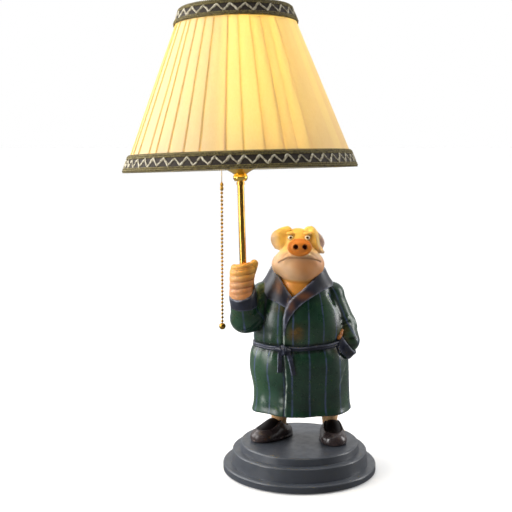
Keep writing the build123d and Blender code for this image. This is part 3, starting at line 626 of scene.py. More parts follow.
# ================================================================ pull cord and chain
def make_pull():
    curve = bpy.data.curves.new("pull_cord_line", "CURVE")
    curve.dimensions = "3D"
    curve.bevel_depth = CORD_RADIUS * MM
    curve.bevel_resolution = 4
    curve.use_fill_caps = True
    heights = np.linspace(CORD_Z[1], CORD_Z[0], 5)
    line = curve.splines.new("NURBS")
    line.points.add(len(heights) - 1)
    for point, z in zip(line.points, heights):
        point.co = (PULL[0] * MM, PULL[1] * MM, z * MM, 1.0)
    line.order_u = 3
    line.use_endpoint_u = True
    cord = bpy.data.objects.new("pull_cord_line", curve)
    scene.collection.objects.link(cord)
    add_piece(cord, "pull_cord", CORD, "pull_cord", "pull_cord")

    top, low = CORD_Z[0], COUPLING_Z
    middle = (top + low) / 2
    outline = ((0.0, top), (0.75, top), (0.85, top - 0.5), (1.05, top - 1.1), (1.6, top - 1.9),
               (1.9, top - 2.7), (1.95, middle + 0.9), (1.85, middle + 0.55), (1.2, middle + 0.3),
               (1.1, middle), (1.2, middle - 0.3), (1.85, middle - 0.55), (1.95, middle - 0.9),
               (1.95, low + 2.0), (1.8, low + 1.2), (1.35, low + 0.5), (1.3, low), (0.0, low))
    bells = lathe("coupling_bells", outline, (PULL[0], PULL[1], 0), (0, 0, 1), 32)
    add_piece(bells, "pull_cord", CHAIN_BRASS, "polished_brass", "chain_coupling")


make_pull()


# ================================================================ lampshade
SIDE, BACK, _ = basis(STEM_AXIS)


def shade_radius(s):
    return SHADE_FOOT_R + SHADE_SLOPE * (s - SHADE_FOOT_S)


def shade_point(turn, s, out=0.0):
    """Point on the shade's cone: turn in radians from +X towards the back, s along the stem."""
    turn, s, out = np.broadcast_arrays(turn, s, out)
    radius = (shade_radius(s) + out)[..., None]
    around = np.cos(turn)[..., None] * SIDE + np.sin(turn)[..., None] * BACK
    return STEM_FOOT + s[..., None] * STEM_AXIS + radius * around


def shade_axes(turn):
    """Unit vectors round the shade, outwards and up its cone at one turn."""
    outward = math.cos(turn) * SIDE + math.sin(turn) * BACK
    along = -math.sin(turn) * SIDE + math.cos(turn) * BACK
    uphill = STEM_AXIS + SHADE_SLOPE * outward
    return along, outward, uphill / np.linalg.norm(uphill)


PLEAT_COUNT = 39
PICOT_PITCH = 2.6
BORDER_WIDTH = 4.6
ZIGZAG_PITCH = 15.0
# one pleat: share of its width, and how far it stands proud in mm
PLEAT_ACROSS = np.array((0.0, 0.12, 0.28, 0.46, 0.64, 0.8, 0.93, 1.0, 1.012, 0.99, 0.93))
PLEAT_PROUD = np.array((-1.1, -0.85, -0.58, -0.34, -0.16, -0.05, 0.03, 0.04, -0.1, -0.36, -0.75))


def make_pleats():
    """Knife pleats: each one rises from under its neighbour to a sharp fold and tucks back."""
    widths = 1.0 + 0.18 * np.sin(np.arange(PLEAT_COUNT) * 2.4) + rng.uniform(-0.26, 0.26, PLEAT_COUNT)
    edges = np.concatenate(((0.0,), np.cumsum(widths) / widths.sum())) * 2 * np.pi
    s = np.linspace(SHADE_FOOT_S + 2.0, SHADE_TOP_S - 0.8, 34)
    turns, outs, tones = [], [], []
    for i in range(PLEAT_COUNT):
        width = edges[i + 1] - edges[i]
        lift = rng.uniform(0.75, 1.0)
        turns.append(edges[i] + PLEAT_ACROSS * width)
        outs.append(np.where(PLEAT_PROUD > -0.9, PLEAT_PROUD * lift, PLEAT_PROUD))
        shadow = rng.uniform(-0.3, 0.4) * bell(PLEAT_ACROSS - 0.05, 0.12)
        tones.append(np.clip(rng.uniform(0.1, 0.75) + shadow, 0, 1))
    turns, outs, tones = np.concatenate(turns), np.concatenate(outs), np.concatenate(tones)
    drift = 0.006 * np.sin(turns * 5.0 + 1.0)[None] * np.sin(np.linspace(0, np.pi, len(s)))[:, None]
    slack = 0.25 * np.sin(np.linspace(0, 3 * np.pi, len(s)))[:, None] * np.sin(turns * 7)[None]
    points = shade_point(turns[None] + drift, s[:, None], outs[None] * 1.15 + np.minimum(slack, 0.0))
    # painted light: the light through the cloth deepens to ochre towards the foot
    low = 0.45 * step_up(-s, -SHADE_FOOT_S - 70.0, -SHADE_FOOT_S)[:, None]
    pleats = make_mesh("pleats", points.reshape(-1, 3), grid_faces(len(s), len(turns)),
                       attributes={"tone": np.clip(tones[None] * 0.7 + low, 0, 1).ravel()})
    pleats.data.set_sharp_from_angle(angle=math.radians(42))
    add_piece(pleats, "shade", PLEATS, "pleated_cloth", "shade_pleats")


def make_lining():
    """Lining stretched between the struts, drawn in a little from strut to strut."""
    turns = full_turn(96)
    s = np.linspace(SHADE_FOOT_S + 2.2, SHADE_TOP_S - 1.2, 16)
    drawn = 0.45 * abs(np.sin(turns * 3))[None] * np.sin(np.linspace(0, np.pi, len(s)))[:, None]
    points = shade_point(turns[None], s[:, None], -2.15 - drawn)
    lining = make_mesh("lining", points.reshape(-1, 3), grid_faces(len(s), len(turns)),
                       attributes={"tone": 0.0})
    add_piece(lining, "shade", LINING, "lining", "shade_lining")


def braid_band(name, low, high, around, node):
    """The woven band that the rest of the braid lies on."""
    middle = (low + high) / 2
    turns = full_turn(int(around / 4))
    section = ((low + 0.4, 0.1), (low + 0.4, 0.9), (low + 1.2, 1.15), (middle, 1.3), (high - 1.2, 1.15),
               (high - 0.4, 0.9), (high - 0.4, 0.1))
    rows = [shade_point(turns, s, out) for s, out in section]
    band = make_mesh(name + "_band", np.concatenate(rows), grid_faces(len(section), len(turns), True))
    add_piece(band, "shade", BRAID_BROWN, "braid", node)


def braid_border(name, low, high, around):
    """Two plaited cords along each edge, and a row of picots that stand out from it."""
    count = int(around / PICOT_PITCH)
    turns = full_turn(count * 4)
    parts = []
    for edge, inward in ((low, 1), (high, -1)):
        for n, offset in enumerate((1.4, 3.3)):
            s = edge + inward * offset + 0.28 * np.sin(turns * count + n * np.pi)
            radii = 1.02 + 0.2 * np.cos(turns * count + n * np.pi)
            parts.append(round_cord(shade_point(turns, s, 1.25), radii, 6, STEM_AXIS))
    bend = np.linspace(0, np.pi, 7)
    loop = np.stack((np.cos(bend) * 0.95, np.zeros(7), np.sin(bend) * 1.25), axis=1)
    picot, faces = round_cord(loop, np.full(7, 0.48), 5, (0, 1, 0), closed=False)
    places = []
    for turn in full_turn(count):
        along, outward, uphill = shade_axes(turn)
        for edge, sign in ((low + 0.7, -1), (high - 0.7, 1)):
            places.append((along, outward, uphill * sign, shade_point(turn, edge, 1.0)))
    parts.append(scattered(picot, faces, places))
    add_piece(make_mesh(name + "_border", *joined(parts)), "shade", BRAID_OLIVE, "braid")


def braid_zigzag(name, low, high, around):
    """A zigzag of cream stitches along the middle, two to a leg."""
    middle = (low + high) / 2
    legs = 2 * int(round(around / ZIGZAG_PITCH))
    step = 2 * np.pi / legs
    gap = high - low - 2 * BORDER_WIDTH
    run = step * shade_radius(middle)
    places = []
    for leg in range(legs):
        up_down = 1 if leg % 2 else -1
        for part, shift in ((-0.24, -0.35), (0.24, 0.35)):
            turn = (leg + 0.5 + part) * step
            along, outward, uphill = shade_axes(turn)
            lean = along * run + uphill * up_down * gap * 1.05
            length = np.linalg.norm(lean)
            lean /= length
            lean += uphill * rng.uniform(-0.25, 0.25)
            cross = np.cross(outward, lean)
            stout = (1.6 if up_down > 0 else 1.15) * rng.uniform(0.8, 1.15)
            s = middle + up_down * part * gap * 0.98 + shift * 0.5 + rng.uniform(-0.5, 0.5)
            long = length * rng.uniform(0.3, 0.38)
            places.append((lean * long, cross * stout, outward * 0.85, shade_point(turn, s, 1.6)))
    stitches = make_mesh(name + "_zigzag", *scattered(*ball_template(7, 8), places))
    add_piece(stitches, "shade", BRAID_CREAM, "braid")


def make_trim(name, span, node):
    """Gimp braid round the shade between two places along the stem."""
    around = 2 * np.pi * shade_radius(sum(span) / 2)
    braid_band(name, *span, around, node)
    braid_border(name, *span, around)
    braid_zigzag(name, *span, around)


make_pleats()
make_lining()
make_trim("bottom_braid", BOTTOM_TRIM, "bottom_trim")
make_trim("top_braid", TOP_TRIM, "top_trim")


# ================================================================ the pig's robe
RIGHT_ARM = ((-43.0, 2.0, 211.0), (-57.0, -10.0, 186.5), (-64.8, -14.0, 185.6), (-66.5, -22.5, 199.0),
             (-67.5, -25.5, 206.0))
RIGHT_ARM_R = (15.0, 17.0, 16.9, 14.2, 12.6)
LEFT_ARM = ((37.0, 3.0, 210.0), (51.5, 10.0, 173.0), (57.0, -3.0, 156.5))
LEFT_ARM_R = (14.5, 15.6, 13.8)
V_OPENING = [(-10.5, 210.0), (-23.0, 230.0), (-36.0, 250.0), (32.0, 250.0), (8.0, 226.0)]
# height and x of the edge where the left panel laps over the right one
LAP_EDGE = np.array(((60.0, -18.5), (80.0, -18.5), (110.0, -17.0), (150.0, -20.0), (185.0, -20.5),
                     (200.0, -17.8), (214.0, -10.5), (250.0, -10.5)))
SHOULDERS = (
    ((36.0, 4.0, 213.0), (15.5, 15.0, 12.5), 4.0),
    ((-40.0, 3.0, 212.0), (14.5, 14.5, 12.0), 4.0))
# ochre patches, partly stains and partly the lamp's warm reflection painted in, then painted highlights:
# centre, half width and height, strength
ROBE_WARM = (
    ((-6, 172), (9.0, 9.0), 0.75), ((-19, 198), (10.0, 5.0), 0.6), ((50, 166), (8.0, 10.0), 0.45),
    ((44, 150), (5.0, 5.0), 0.5))
ROBE_HIGHLIGHTS = (((-22.5, 87), (2.2, 8.0), 0.75), ((-44.0, 87), (2.4, 6.0), 0.5))
# a line, the width and the height of each fold; a negative height sinks the cloth
ROBE_FOLDS = (
    # left sleeve
    (((42, -9, 172), (50, -8, 173.5), (57, -6, 176)), 1.9, 1.3),
    (((42, -9, 177.5), (50, -8, 180), (58, -6, 184)), 1.9, 1.3),
    (((41, -9, 175), (50, -7.5, 176.8), (58, -5, 180)), 1.1, -1.6),
    (((41, -9, 181), (49, -8, 184), (56, -6, 188)), 1.2, -1.2),
    (((60, -4, 200), (66, 2, 186), (67, 5, 172)), 2.2, 0.9),
    (((57, -6, 168), (62, -6, 160), (66, -4, 152)), 2.0, 0.8),
    (((33, -17, 214), (38, -13, 200), (40, -12, 186), (40, -12, 172)), 2.0, -1.8),
    (((30, 22, 216), (44, 24, 200), (56, 20, 186)), 3.0, 1.0),
    (((48, 25, 190), (58, 21, 178)), 2.4, 1.2),
    (((44, 24, 182), (58, 22, 170)), 2.0, -1.2),
    # right elbow and armpit
    (((-46, -16, 206), (-49, -20, 196), (-50.5, -21, 184), (-48, -20, 172)), 1.6, -1.9),
    (((-50, -24, 190), (-58, -29, 180), (-68, -28, 174)), 2.6, 0.9),
    (((-49, -24, 184), (-58, -27, 174), (-68, -24, 169)), 1.9, -0.9),
    (((-78, -10, 196), (-76, -4, 184), (-70, 2, 176)), 2.6, 1.2),
    (((-56, 2, 200), (-66, -2, 190), (-74, -8, 186)), 2.2, -1.2),
    (((-36, 20, 214), (-50, 14, 200), (-58, 6, 188)), 2.6, 1.0),
    # back, from the shoulders to the belt and below it
    (((-30, 38, 205), (-22, 43, 180), (-12, 44, 160)), 3.2, 0.9),
    (((22, 38, 205), (16, 43, 182), (8, 44, 160)), 3.2, 0.9),
    (((-4, 44, 200), (-3, 45, 160)), 2.8, -0.7),
    (((-20, 46, 145), (-24, 46, 110), (-25, 46, 76)), 3.5, 1.0),
    (((18, 46, 145), (22, 46, 110), (24, 46, 76)), 3.5, 1.0))


def belt_height(x):
    """The belt lies level on the right and climbs to the left side."""
    return BELT_Z - 0.3 + np.maximum(x, 0.0) * BELT_RISE + 0.05 * np.maximum(x - 25.0, 0.0)


def past_lap(x, z):
    """How far x lies to the left of the lap's edge, mm."""
    return x - np.interp(z, LAP_EDGE[:, 0], LAP_EDGE[:, 1])


def sculpt_robe():
    clay = Clay((-86, -46, 68), (74, 54, 244), 0.95, 1.6)
    x, y, z = clay.p
    body = stack_field(clay.p, ROBE_ROWS)
    turn = np.arctan2(y - ROBE_Y, x)
    front = step_up(-y, 0.0, 22.0)
    # skirt folds, stronger towards the hem
    low = step_up(-z, -135.0, -75.0)
    body -= low * (0.75 * np.cos(turn * 9 + 0.6 * np.sin(turn * 2)) + 0.5 * np.cos(turn * 5 + 1.7))
    body -= 1.1 * bell(z - HEM_Z, 5.0)
    # pinched waist with gathers above and below the belt
    waist = belt_height(x)
    body += 1.5 * bell(z - waist, 3.4)
    gather = bell(z - waist, 11.0) * (1 - bell(z - waist, 3.5))
    leftness = 0.45 + 0.55 * step_up(-x, -5.0, 35.0)
    body -= gather * leftness * 0.8 * np.cos(turn * 21 + 1.2 * np.sin((z - waist) * 0.12))
    body -= 1.2 * bell(z - waist - 9.0, 6.0) * step_up(-x, 5.0, 40.0)
    # the left panel laps over the right one
    over = past_lap(x, z).astype(np.float32)
    lap = np.clip(over / 0.9, 0, 1) * np.exp(-np.maximum(over, 0) / 26.0) * 1.7
    body -= lap * front
    body += 0.8 * bell(over + 1.2, 1.3) * front
    clay.value = np.maximum(body, HEM_Z + 0.5 * np.cos(turn * 5) - z).astype(np.float32)
    clay.value = soft_max(clay.value, z - 240.0, 2.0)
    # sleeves
    clay.add_limb(RIGHT_ARM, RIGHT_ARM_R, 3.0, join=4.0)
    clay.add_limb(LEFT_ARM, LEFT_ARM_R, 2.6, join=4.0)
    clay.add_ellipsoids(SHOULDERS)
    # the right sleeve ends inside its cuff
    where, p = clay.window((-86, -46, 192), (-52, -10, 244))
    above = p[2] - 208.5 - (p[0] + 67.0) * 0.2 - (p[1] + 27.0) * 0.5
    clay.merge(where, -above, 0.6, cut=True)
    clay.ridges(ROBE_FOLDS)
    # open front for the neck
    where, p = clay.window((-50, -60, 205), (50, -2, 246))
    opening = np.maximum(outline_field(p[0], p[2], V_OPENING), p[1] + 6.0)
    clay.merge(where, opening, 0.8, cut=True)
    # hollow hem
    where, p = clay.window((-70, -60, 60), (80, 60, 84))
    inside = np.maximum(stack_field(p, ROBE_ROWS, -5.0), p[2] - 84.0)
    clay.merge(where, inside, 0.8, cut=True)
    return clay


def around_line(p, a, b):
    """Distance round a limb's axis, mm, from the direction that faces the front."""
    a, b = np.asarray(a, float), np.asarray(b, float)
    first, second, _ = basis(b - a)
    q = np.stack([p[i] - a[i] for i in range(3)], axis=-1)
    return np.arctan2(q @ second, q @ first) * 15.0


def around_robe(x, y):
    """Distance round the robe from the middle of its front, mm."""
    wide, deep = ROBE_HALF
    turns = np.linspace(-np.pi, np.pi, 721)
    speed = np.hypot(wide * np.sin(turns), deep * np.cos(turns))
    arc = np.concatenate(((0.0,), np.cumsum((speed[1:] + speed[:-1]) / 2 * np.diff(turns))))
    turn = np.arctan2((y - ROBE_Y) / deep, x / wide)
    return np.interp(turn, turns, arc) - np.interp(-np.pi / 2, turns, arc)


def make_robe():
    points, faces = sculpt_robe().skin()
    p = list(points.T)
    x, y, z = p
    torso = stack_field(p, ROBE_ROWS)
    right = path_field(p, RIGHT_ARM, RIGHT_ARM_R)
    left = path_field(p, LEFT_ARM, LEFT_ARM_R)
    waist = belt_height(x)
    over = past_lap(x, z)
    # shadows beside the arms, the belt and the lap
    painted_shade = 0.8 * bell(torso - right, 1.8) * (torso < 6) * (right < 6)
    painted_shade += 0.7 * bell(torso - left, 1.8) * (torso < 6) * (left < 6) * (y < 12)
    painted_shade += 0.8 * bell(np.abs(z - waist) - 4.2, 1.3) * (right > 3)
    painted_shade += 0.8 * bell(over + 1.2, 0.9) * (y < -15) * (z < 205)
    # painted shade over the skirt's middle below the belt
    painted_shade += 0.3 * bell(x - 4, 24.0) * step_up(-z, -142.0, -120.0) * (y < 0) * (over > 0)
    # painted shade in the folds of the left sleeve and the hollow beside it
    painted_shade += 0.7 * bell(z - 175.0 - 0.3 * (x - 41), 0.9) * (x > 41) * (x < 58) * (y < 2)
    painted_shade += 0.9 * spot(x, z, (44, 184), (5.0, 9.0)) * (y < 2)
    # painted highlight along the edge where the left panel laps over
    painted_highlight = 0.85 * bell(over - 0.2, 0.5) * (y < -15) * (z < 193)
    painted_highlight *= 1 - 0.7 * bell(z - 138, 12.0)
    # painted highlights above the hem and along a fold at the left hip
    painted_highlight += spots(x, z, ROBE_HIGHLIGHTS) * (y < 0)
    hip = 53.0 - (128.0 - z) * 0.33
    painted_highlight += 0.55 * spot(x, z, (hip, 117), (0.7, 9.0)) * (y < 5)
    # the under panel's stripes below the belt fall between the upper ones
    under_panel = step_up(-over, -0.3, 0.3) * step_up(-y, -22.0, 4.0) * (z < waist)
    # ochre patches: partly stains, partly the lamp's warm reflection painted in
    warm = spots(x, z, ROBE_WARM) * (y < 0)
    robe = make_mesh("robe", points, faces, attributes={
        "stripe_body": around_robe(x, y) - 9.8 - 10.0 * under_panel,
        "stripe_right": around_line(p, RIGHT_ARM[2], RIGHT_ARM[3]) + 4.0,
        "stripe_left": around_line(p, LEFT_ARM[0], LEFT_ARM[1]) + 3.0,
        "is_right": (right < torso - 0.5).astype(float), "is_left": (left < torso - 0.5).astype(float),
        "painted_shade": np.clip(painted_shade, 0, 0.85), "edge": np.clip(painted_highlight, 0, 1), "warm": np.clip(warm, 0, 1)})
    add_piece(robe, "lamp", ROBE, "robe_paint", "robe_body", "sleeve_right", "sleeve_left")


make_robe()


# ================================================================ collar, cuffs and belt
# outlines of the lapels from the front
RIGHT_LAPEL = [(-34.0, 250.0), (-31.0, 243.0), (-22.0, 229.5), (-15.3, 218.9), (-10.5, 211.8), (-13.5, 207.0),
               (-17.4, 200.0), (-27.0, 205.0), (-38.0, 209.0), (-45.5, 219.5), (-47.0, 232.0), (-40.0, 252.0)]
LEFT_LAPEL = [(30.0, 250.0), (25.5, 242.0), (16.0, 232.5), (7.0, 225.5), (-2.0, 217.9), (-10.5, 211.5),
              (-14.0, 207.0), (-18.2, 199.5), (-20.6, 188.0), (-20.6, 168.0), (-18.8, 168.0), (-17.0, 180.0),
              (-13.0, 189.5), (-7.0, 197.5), (1.0, 205.0), (11.0, 211.5), (24.0, 218.0), (37.5, 222.5),
              (42.0, 232.0), (34.0, 252.0)]
# height, centre x, centre y, half width, half depth
COLLAR_ROWS = np.array((
    (150.0, -0.5, 5.0, 55.8, 40.6), (168.0, -0.8, 5.0, 55.9, 40.9), (180.0, -1.2, 5.0, 55.6, 40.6),
    (190.0, -1.6, 5.0, 54.6, 39.6), (205.0, -2.2, 5.0, 51.4, 37.0), (215.0, -2.5, 5.0, 47.6, 34.8),
    (224.0, -2.8, 5.0, 42.2, 31.8), (232.0, -2.8, 5.5, 37.0, 29.2), (239.0, -2.7, 6.0, 33.5, 27.0),
    (246.0, -2.7, 6.5, 30.5, 25.0)))
COLLAR_INSIDE = np.array((
    (150.0, -0.5, 5.0, 50.5, 35.0), (205.0, -2.2, 5.0, 45.6, 31.0), (215.0, -2.5, 5.0, 40.0, 27.5),
    (224.0, -2.8, 5.0, 33.0, 23.8), (232.0, -2.8, 5.5, 28.6, 22.6), (239.0, -2.7, 6.0, 27.6, 21.8),
    (246.0, -2.7, 6.5, 27.2, 21.6)))
# painted warm reflections of the lamp on the lapels: centre, half width and height, strength
COLLAR_WARM = (((-26, 224), (4.0, 7.0), 0.9), ((3, 214), (9.0, 4.5), 0.8), ((-12, 203), (4.0, 7.0), 0.6))


def make_collar():
    clay = Clay((-50, -42, 164), (46, 42, 247), 0.7, 1.2)
    x, y, z = clay.p
    outer = stack_field(clay.p, COLLAR_ROWS)
    outer -= 0.5 * np.sin(np.arctan2(y - ROBE_Y, x) * 6 + z * 0.1)
    inner = stack_field(clay.p, COLLAR_INSIDE)
    back = 218.5 - z
    blend = step_up(y, -4.0, 10.0)
    right = outline_field(x[:, :1], z[:, :1], RIGHT_LAPEL)
    left = outline_field(x[:, :1], z[:, :1], LEFT_LAPEL)
    top = z - 243.5 + 0.02 * x
    right_part = soft_max(outer - 0.15, right * (1 - blend) + back * blend, 1.6)
    left_part = soft_max(outer - 0.9, left * (1 - blend) + back * blend, 1.6)
    shape = np.minimum(right_part, left_part)
    shape = soft_max(shape, -inner, 1.2)
    clay.value = soft_max(shape, top, 2.2).astype(np.float32)
    # a shadowed roll line in each lapel
    clay.ridge(((-29, -24, 236), (-22, -29, 222), (-16, -33, 210)), 2.4, -0.7)
    points, faces = clay.skin()
    px, py, pz = points.T
    right = outline_field(px, pz, RIGHT_LAPEL)
    left = outline_field(px, pz, LEFT_LAPEL)
    # painted highlights along the lapels' edges and the collar's top
    rim = bell(np.minimum(np.abs(right), np.abs(left)), 1.4) * (py < 4)
    rim = np.maximum(rim, bell(pz - 242.5, 1.6))
    # painted warm reflection of the lamp
    warm = spots(px, pz, COLLAR_WARM)
    collar = make_mesh("collar", points, faces, attributes={"edge": np.clip(rim, 0, 1) * 0.9,
                                                            "warm": np.clip(warm, 0, 1) * (py < 0)})
    add_piece(collar, "lamp", TRIM, "trim_paint", "robe_collar")


def make_cuff(name, base, axis, radii, tall, node, slant=(0.0, 0.0)):
    """Turned-back cuff: a soft band with a rolled edge, open at its mouth, which may slant."""
    low, high = radii
    outline = (
        (low - 2.2, -0.8), (low - 0.4, -1.2), (low + 0.5, -0.4), (low + 0.7, 1.2), (low + 0.8, tall * 0.35),
        ((low + high) / 2 + 0.8, tall * 0.6), (high + 0.7, tall * 0.88), (high + 0.4, tall * 0.97),
        (high - 0.6, tall + 0.5), (high - 2.0, tall + 0.2), (high - 2.8, tall - 1.4),
        (high - 3.4, tall - 5.0))

    def wobble(turn, height):
        return 1 + 0.018 * np.sin(turn * 3 + height * 0.25) + 0.012 * np.cos(turn * 7 + 1.0)

    columns = 96
    cuff = lathe(name, outline, base, axis, columns, wobble)
    heights = np.repeat([h for _, h in outline], columns)
    for vertex, height in zip(cuff.data.vertices, heights):
        rise = slant[0] * (vertex.co.x / MM - base[0]) + slant[1] * (vertex.co.y / MM - base[1])
        vertex.co.z += rise * max(height, 0.0) / tall * MM
    # painted highlights on the rolled edge and the foot of the band
    add_values(cuff.data, {"edge": 0.75 * bell(heights - tall, 1.2) + 0.4 * bell(heights + 0.5, 1.0)})
    add_piece(cuff, "lamp", TRIM, "trim_paint", node)


def make_belt():
    turns = full_turn(220)
    x = -0.5 + 53.7 * np.cos(turns)
    y = ROBE_Y + 38.2 * np.sin(turns)
    line = np.stack((x, y, belt_height(x) + 0.25 * np.sin(turns * 9)), axis=-1)
    section = np.array(((-1.0, -2.9), (0.6, -2.8), (1.4, -2.1), (1.6, -1.4), (1.3, -0.5), (0.8, 0.0),
                        (1.3, 0.5), (1.6, 1.4), (1.4, 2.1), (0.6, 2.8), (-1.0, 2.9)))
    side, top = curve_frames(line, True)
    rings = line[:, None] + side[:, None] * section[None, :, :1] + top[:, None] * section[None, :, 1:]
    # painted highlight along the upper ridge of the band
    edge = 0.45 * bell(np.tile(section[:, 1], len(turns)) - 1.6, 0.6)
    belt = make_mesh("belt_band", rings.reshape(-1, 3), grid_faces(len(turns), len(section), True),
                     attributes={"edge": edge})
    add_piece(belt, "lamp", TRIM, "trim_paint", "belt")


KNOT_FRONT = -34.6
BELT_TAILS = (
    ((-24.0, -35.8, 150.0), (-24.8, -37.6, 142.0), (-24.6, -37.4, 134.0), (-25.0, -37.8, 126.5)),
    ((-15.5, -36.5, 149.0), (-12.4, -38.6, 141.0), (-10.6, -38.4, 132.0), (-9.0, -38.8, 123.8)))


def strap_field(p, a, b, half_wide, half_thick):
    """Distance to a flat strap from a to b that faces the front, 0.6 mm longer than they are apart."""
    a, b = np.array(a), np.array(b)
    length = np.linalg.norm(b - a)
    along = (b - a) / length
    across = np.cross(along, (0, 1, 0))
    q = [p[i] - a[i] for i in range(3)]
    t = sum(q[i] * along[i] for i in range(3))
    wide = np.abs(sum(q[i] * across[i] for i in range(3)))
    deep = np.abs(q[1] - along[1] * t)
    ends = np.maximum(-t - 0.6, t - length - 0.6)
    return np.maximum(np.maximum(wide - half_wide, deep - half_thick), ends)


def sculpt_knot():
    """Knot of two loops under a wrapped band, with the two tails."""
    clay = Clay((-36, -46, 118), (-2, -26, 164), 0.45, 0.8)
    front = KNOT_FRONT
    clay.add_limb(((-27, front - 0.5, 153.5), (-21, front - 3.0, 153.2), (-15, front - 0.5, 151.5)),
                  (3.4, 4.6, 3.4), 0.6)
    clay.add_limb(((-21.5, front - 3.6, 157.0), (-19.8, front - 5.0, 152.6), (-20.5, front - 3.4, 148.2)),
                  (2.0, 2.6, 2.2), 0.8)
    clay.ridges((
        (((-23.6, front - 4.5, 158.0), (-22.6, front - 6.5, 152.6), (-23.0, front - 4.5, 147.0)), 0.7, -1.0),
        (((-17.6, front - 4.0, 157.5), (-17.2, front - 6.5, 152.6), (-18.0, front - 4.5, 147.4)), 0.7, -1.0)))
    for line in BELT_TAILS:
        for a, b in zip(line, line[1:]):
            where, p = clay.around((a, b), 6)
            clay.merge(where, strap_field(p, a, b, 2.65, 1.05), 0.8)
    return clay


def make_knot():
    points, faces = sculpt_knot().skin()
    px, _, pz = points.T
    # painted highlights on the tails' left edges and down the wrapped band
    edge = 0.9 * bell(px + 27.4 - (pz - 138) * 0.03, 0.7) * (pz < 148)
    edge += 0.9 * bell(px + 13.8 + (pz - 136) * 0.24, 0.8) * (pz < 146)
    edge += 0.5 * bell(px + 20.6, 0.8) * (pz > 148)
    knot = make_mesh("belt_bow", points, faces, attributes={"edge": np.clip(edge, 0, 1)})
    add_piece(knot, "lamp", TRIM, "trim_paint", "belt_knot", "belt_tails")


make_collar()
make_cuff("cuff_band_right", (-66.0, -23.4, 201.0), (-0.08, -0.14, 1.0), (15.0, 14.8), 21.0, "cuff_right",
          slant=(0.2, 0.5))
make_cuff("cuff_band_left", (56.4, -4.0, 154.4), (-0.78, 0.1, -0.62), (15.5, 16.8), 10.5, "cuff_left")
make_belt()
make_knot()


# ================================================================ head
def add_patch(clay, corners, radius, k, side=18):
    """A sheet of clay 2 * radius thick over a grid of control points, laid as side x side balls."""
    corners = np.asarray(corners, float)
    rows, columns = corners.shape[:2]
    strips = curved(corners.reshape(rows, -1), side).reshape(side, columns, 3)
    points = curved(strips.transpose(1, 0, 2).reshape(columns, -1), side).reshape(-1, 3)
    where, p = clay.around(points, radius + 2 * k + 1)
    best = None
    for c in points:
        part = (p[0] - c[0]) ** 2 + (p[1] - c[1]) ** 2 + (p[2] - c[2]) ** 2
        best = part if best is None else np.minimum(best, part, out=best)
    clay.merge(where, np.sqrt(best) - radius, k)


RIGHT_EAR = (
    ((-12.5, -4.0, 288.5), (-15.5, 0.0, 290.3), (-16.5, 4.0, 288.0)),
    ((-15.5, -6.0, 287.0), (-22.5, -4.0, 288.5), (-28.5, 2.0, 285.5)),
    ((-16.5, -6.5, 280.0), (-26.0, -7.0, 281.0), (-33.0, 0.0, 279.5)),
    ((-16.5, -9.0, 273.0), (-25.5, -8.5, 272.5), (-32.5, -1.0, 273.0)),
    ((-18.5, -9.5, 267.5), (-24.0, -8.5, 266.3), (-29.0, -4.0, 267.5)))
LEFT_EAR = (
    ((9.0, -3.0, 289.0), (12.6, -2.0, 290.5), (16.0, 0.0, 288.5)),
    ((11.0, -7.0, 284.5), (15.0, -8.0, 285.5), (19.0, -5.0, 283.5)),
    ((13.0, -8.5, 278.0), (16.8, -10.5, 277.5), (20.0, -7.5, 277.0)),
    ((14.5, -9.5, 270.5), (18.0, -12.0, 270.0), (21.0, -9.0, 271.0)),
    ((19.0, -10.5, 264.0), (22.8, -11.8, 263.0), (26.0, -10.0, 262.6)))
LEFT_EAR_BACK = (
    ((13.0, 3.0, 286.5), (19.0, 3.5, 284.5)),
    ((15.0, 1.0, 280.0), (24.6, 3.0, 278.5)),
    ((15.5, -1.0, 273.0), (27.0, 2.0, 272.0)),
    ((17.0, -4.0, 267.5), (25.0, 0.0, 266.5)))
# x and z along the mouth's line, from the pig's right
MOUTH = ((-26.2, 251.6), (-23.6, 253.2), (-20.5, 255.0), (-17.0, 256.6), (-12.5, 257.5), (-7.0, 257.7),
         (-1.0, 257.7), (4.0, 257.5), (9.0, 256.9), (13.5, 255.8), (17.5, 254.5), (20.5, 253.2),
         (22.8, 252.0))
SNOUT_CENTRE = np.array((-2.5, -36.5, 271.2))
SNOUT_NORMAL = np.array((0.0, -0.97, 0.24))
NOSTRILS = ((-7.1, 271.4), (3.3, 271.4))
# x and tilt in degrees of each eye
EYES = ((-12.1, 12.0), (7.4, -12.0))
EYE_Z = 280.0
HEAD_FORMS = (
    # jaw, cheeks, chin and cranium
    ((-2.7, -0.5, 247.5), (29.6, 27.0, 19.5), 1.0),
    ((-18.0, -6.0, 247.0), (15.0, 16.5, 14.5), 5.0),
    ((12.6, -6.0, 247.0), (14.5, 16.5, 14.5), 5.0),
    ((-2.7, -13.0, 241.5), (20.0, 17.0, 17.0), 6.0),
    ((-2.7, 2.0, 271.5), (18.6, 18.5, 18.0), 7.0),
    # upper lip and its two pads
    ((-2.7, -12.0, 262.0), (18.5, 16.0, 10.0), 5.0),
    ((-15.5, -11.0, 257.5), (11.0, 12.5, 8.5), 5.0),
    ((10.2, -11.0, 257.5), (11.0, 12.5, 8.5), 5.0),
    # neck and chest in the robe's opening
    ((-3.0, 1.0, 220.0), (26.0, 26.0, 24.0), 2.0),
    # brow ridges over the eyes
    ((-12.0, -11.5, 284.4), (4.6, 3.6, 2.6), 2.0),
    ((7.2, -11.5, 284.4), (4.6, 3.6, 2.6), 2.0))
EAR_ROOTS = (
    ((-15.0, -1.0, 287.8), (5.0, 4.2, 3.6), 2.0),
    ((9.6, -1.0, 288.0), (5.0, 4.2, 3.8), 2.0))


def snout_frame(q):
    """Distance out of the snout's disc and height up it, for offsets q from its centre."""
    deep = q[1] * SNOUT_NORMAL[1] + q[2] * SNOUT_NORMAL[2]
    up = q[2] * -SNOUT_NORMAL[1] + q[1] * SNOUT_NORMAL[2]
    return deep, up


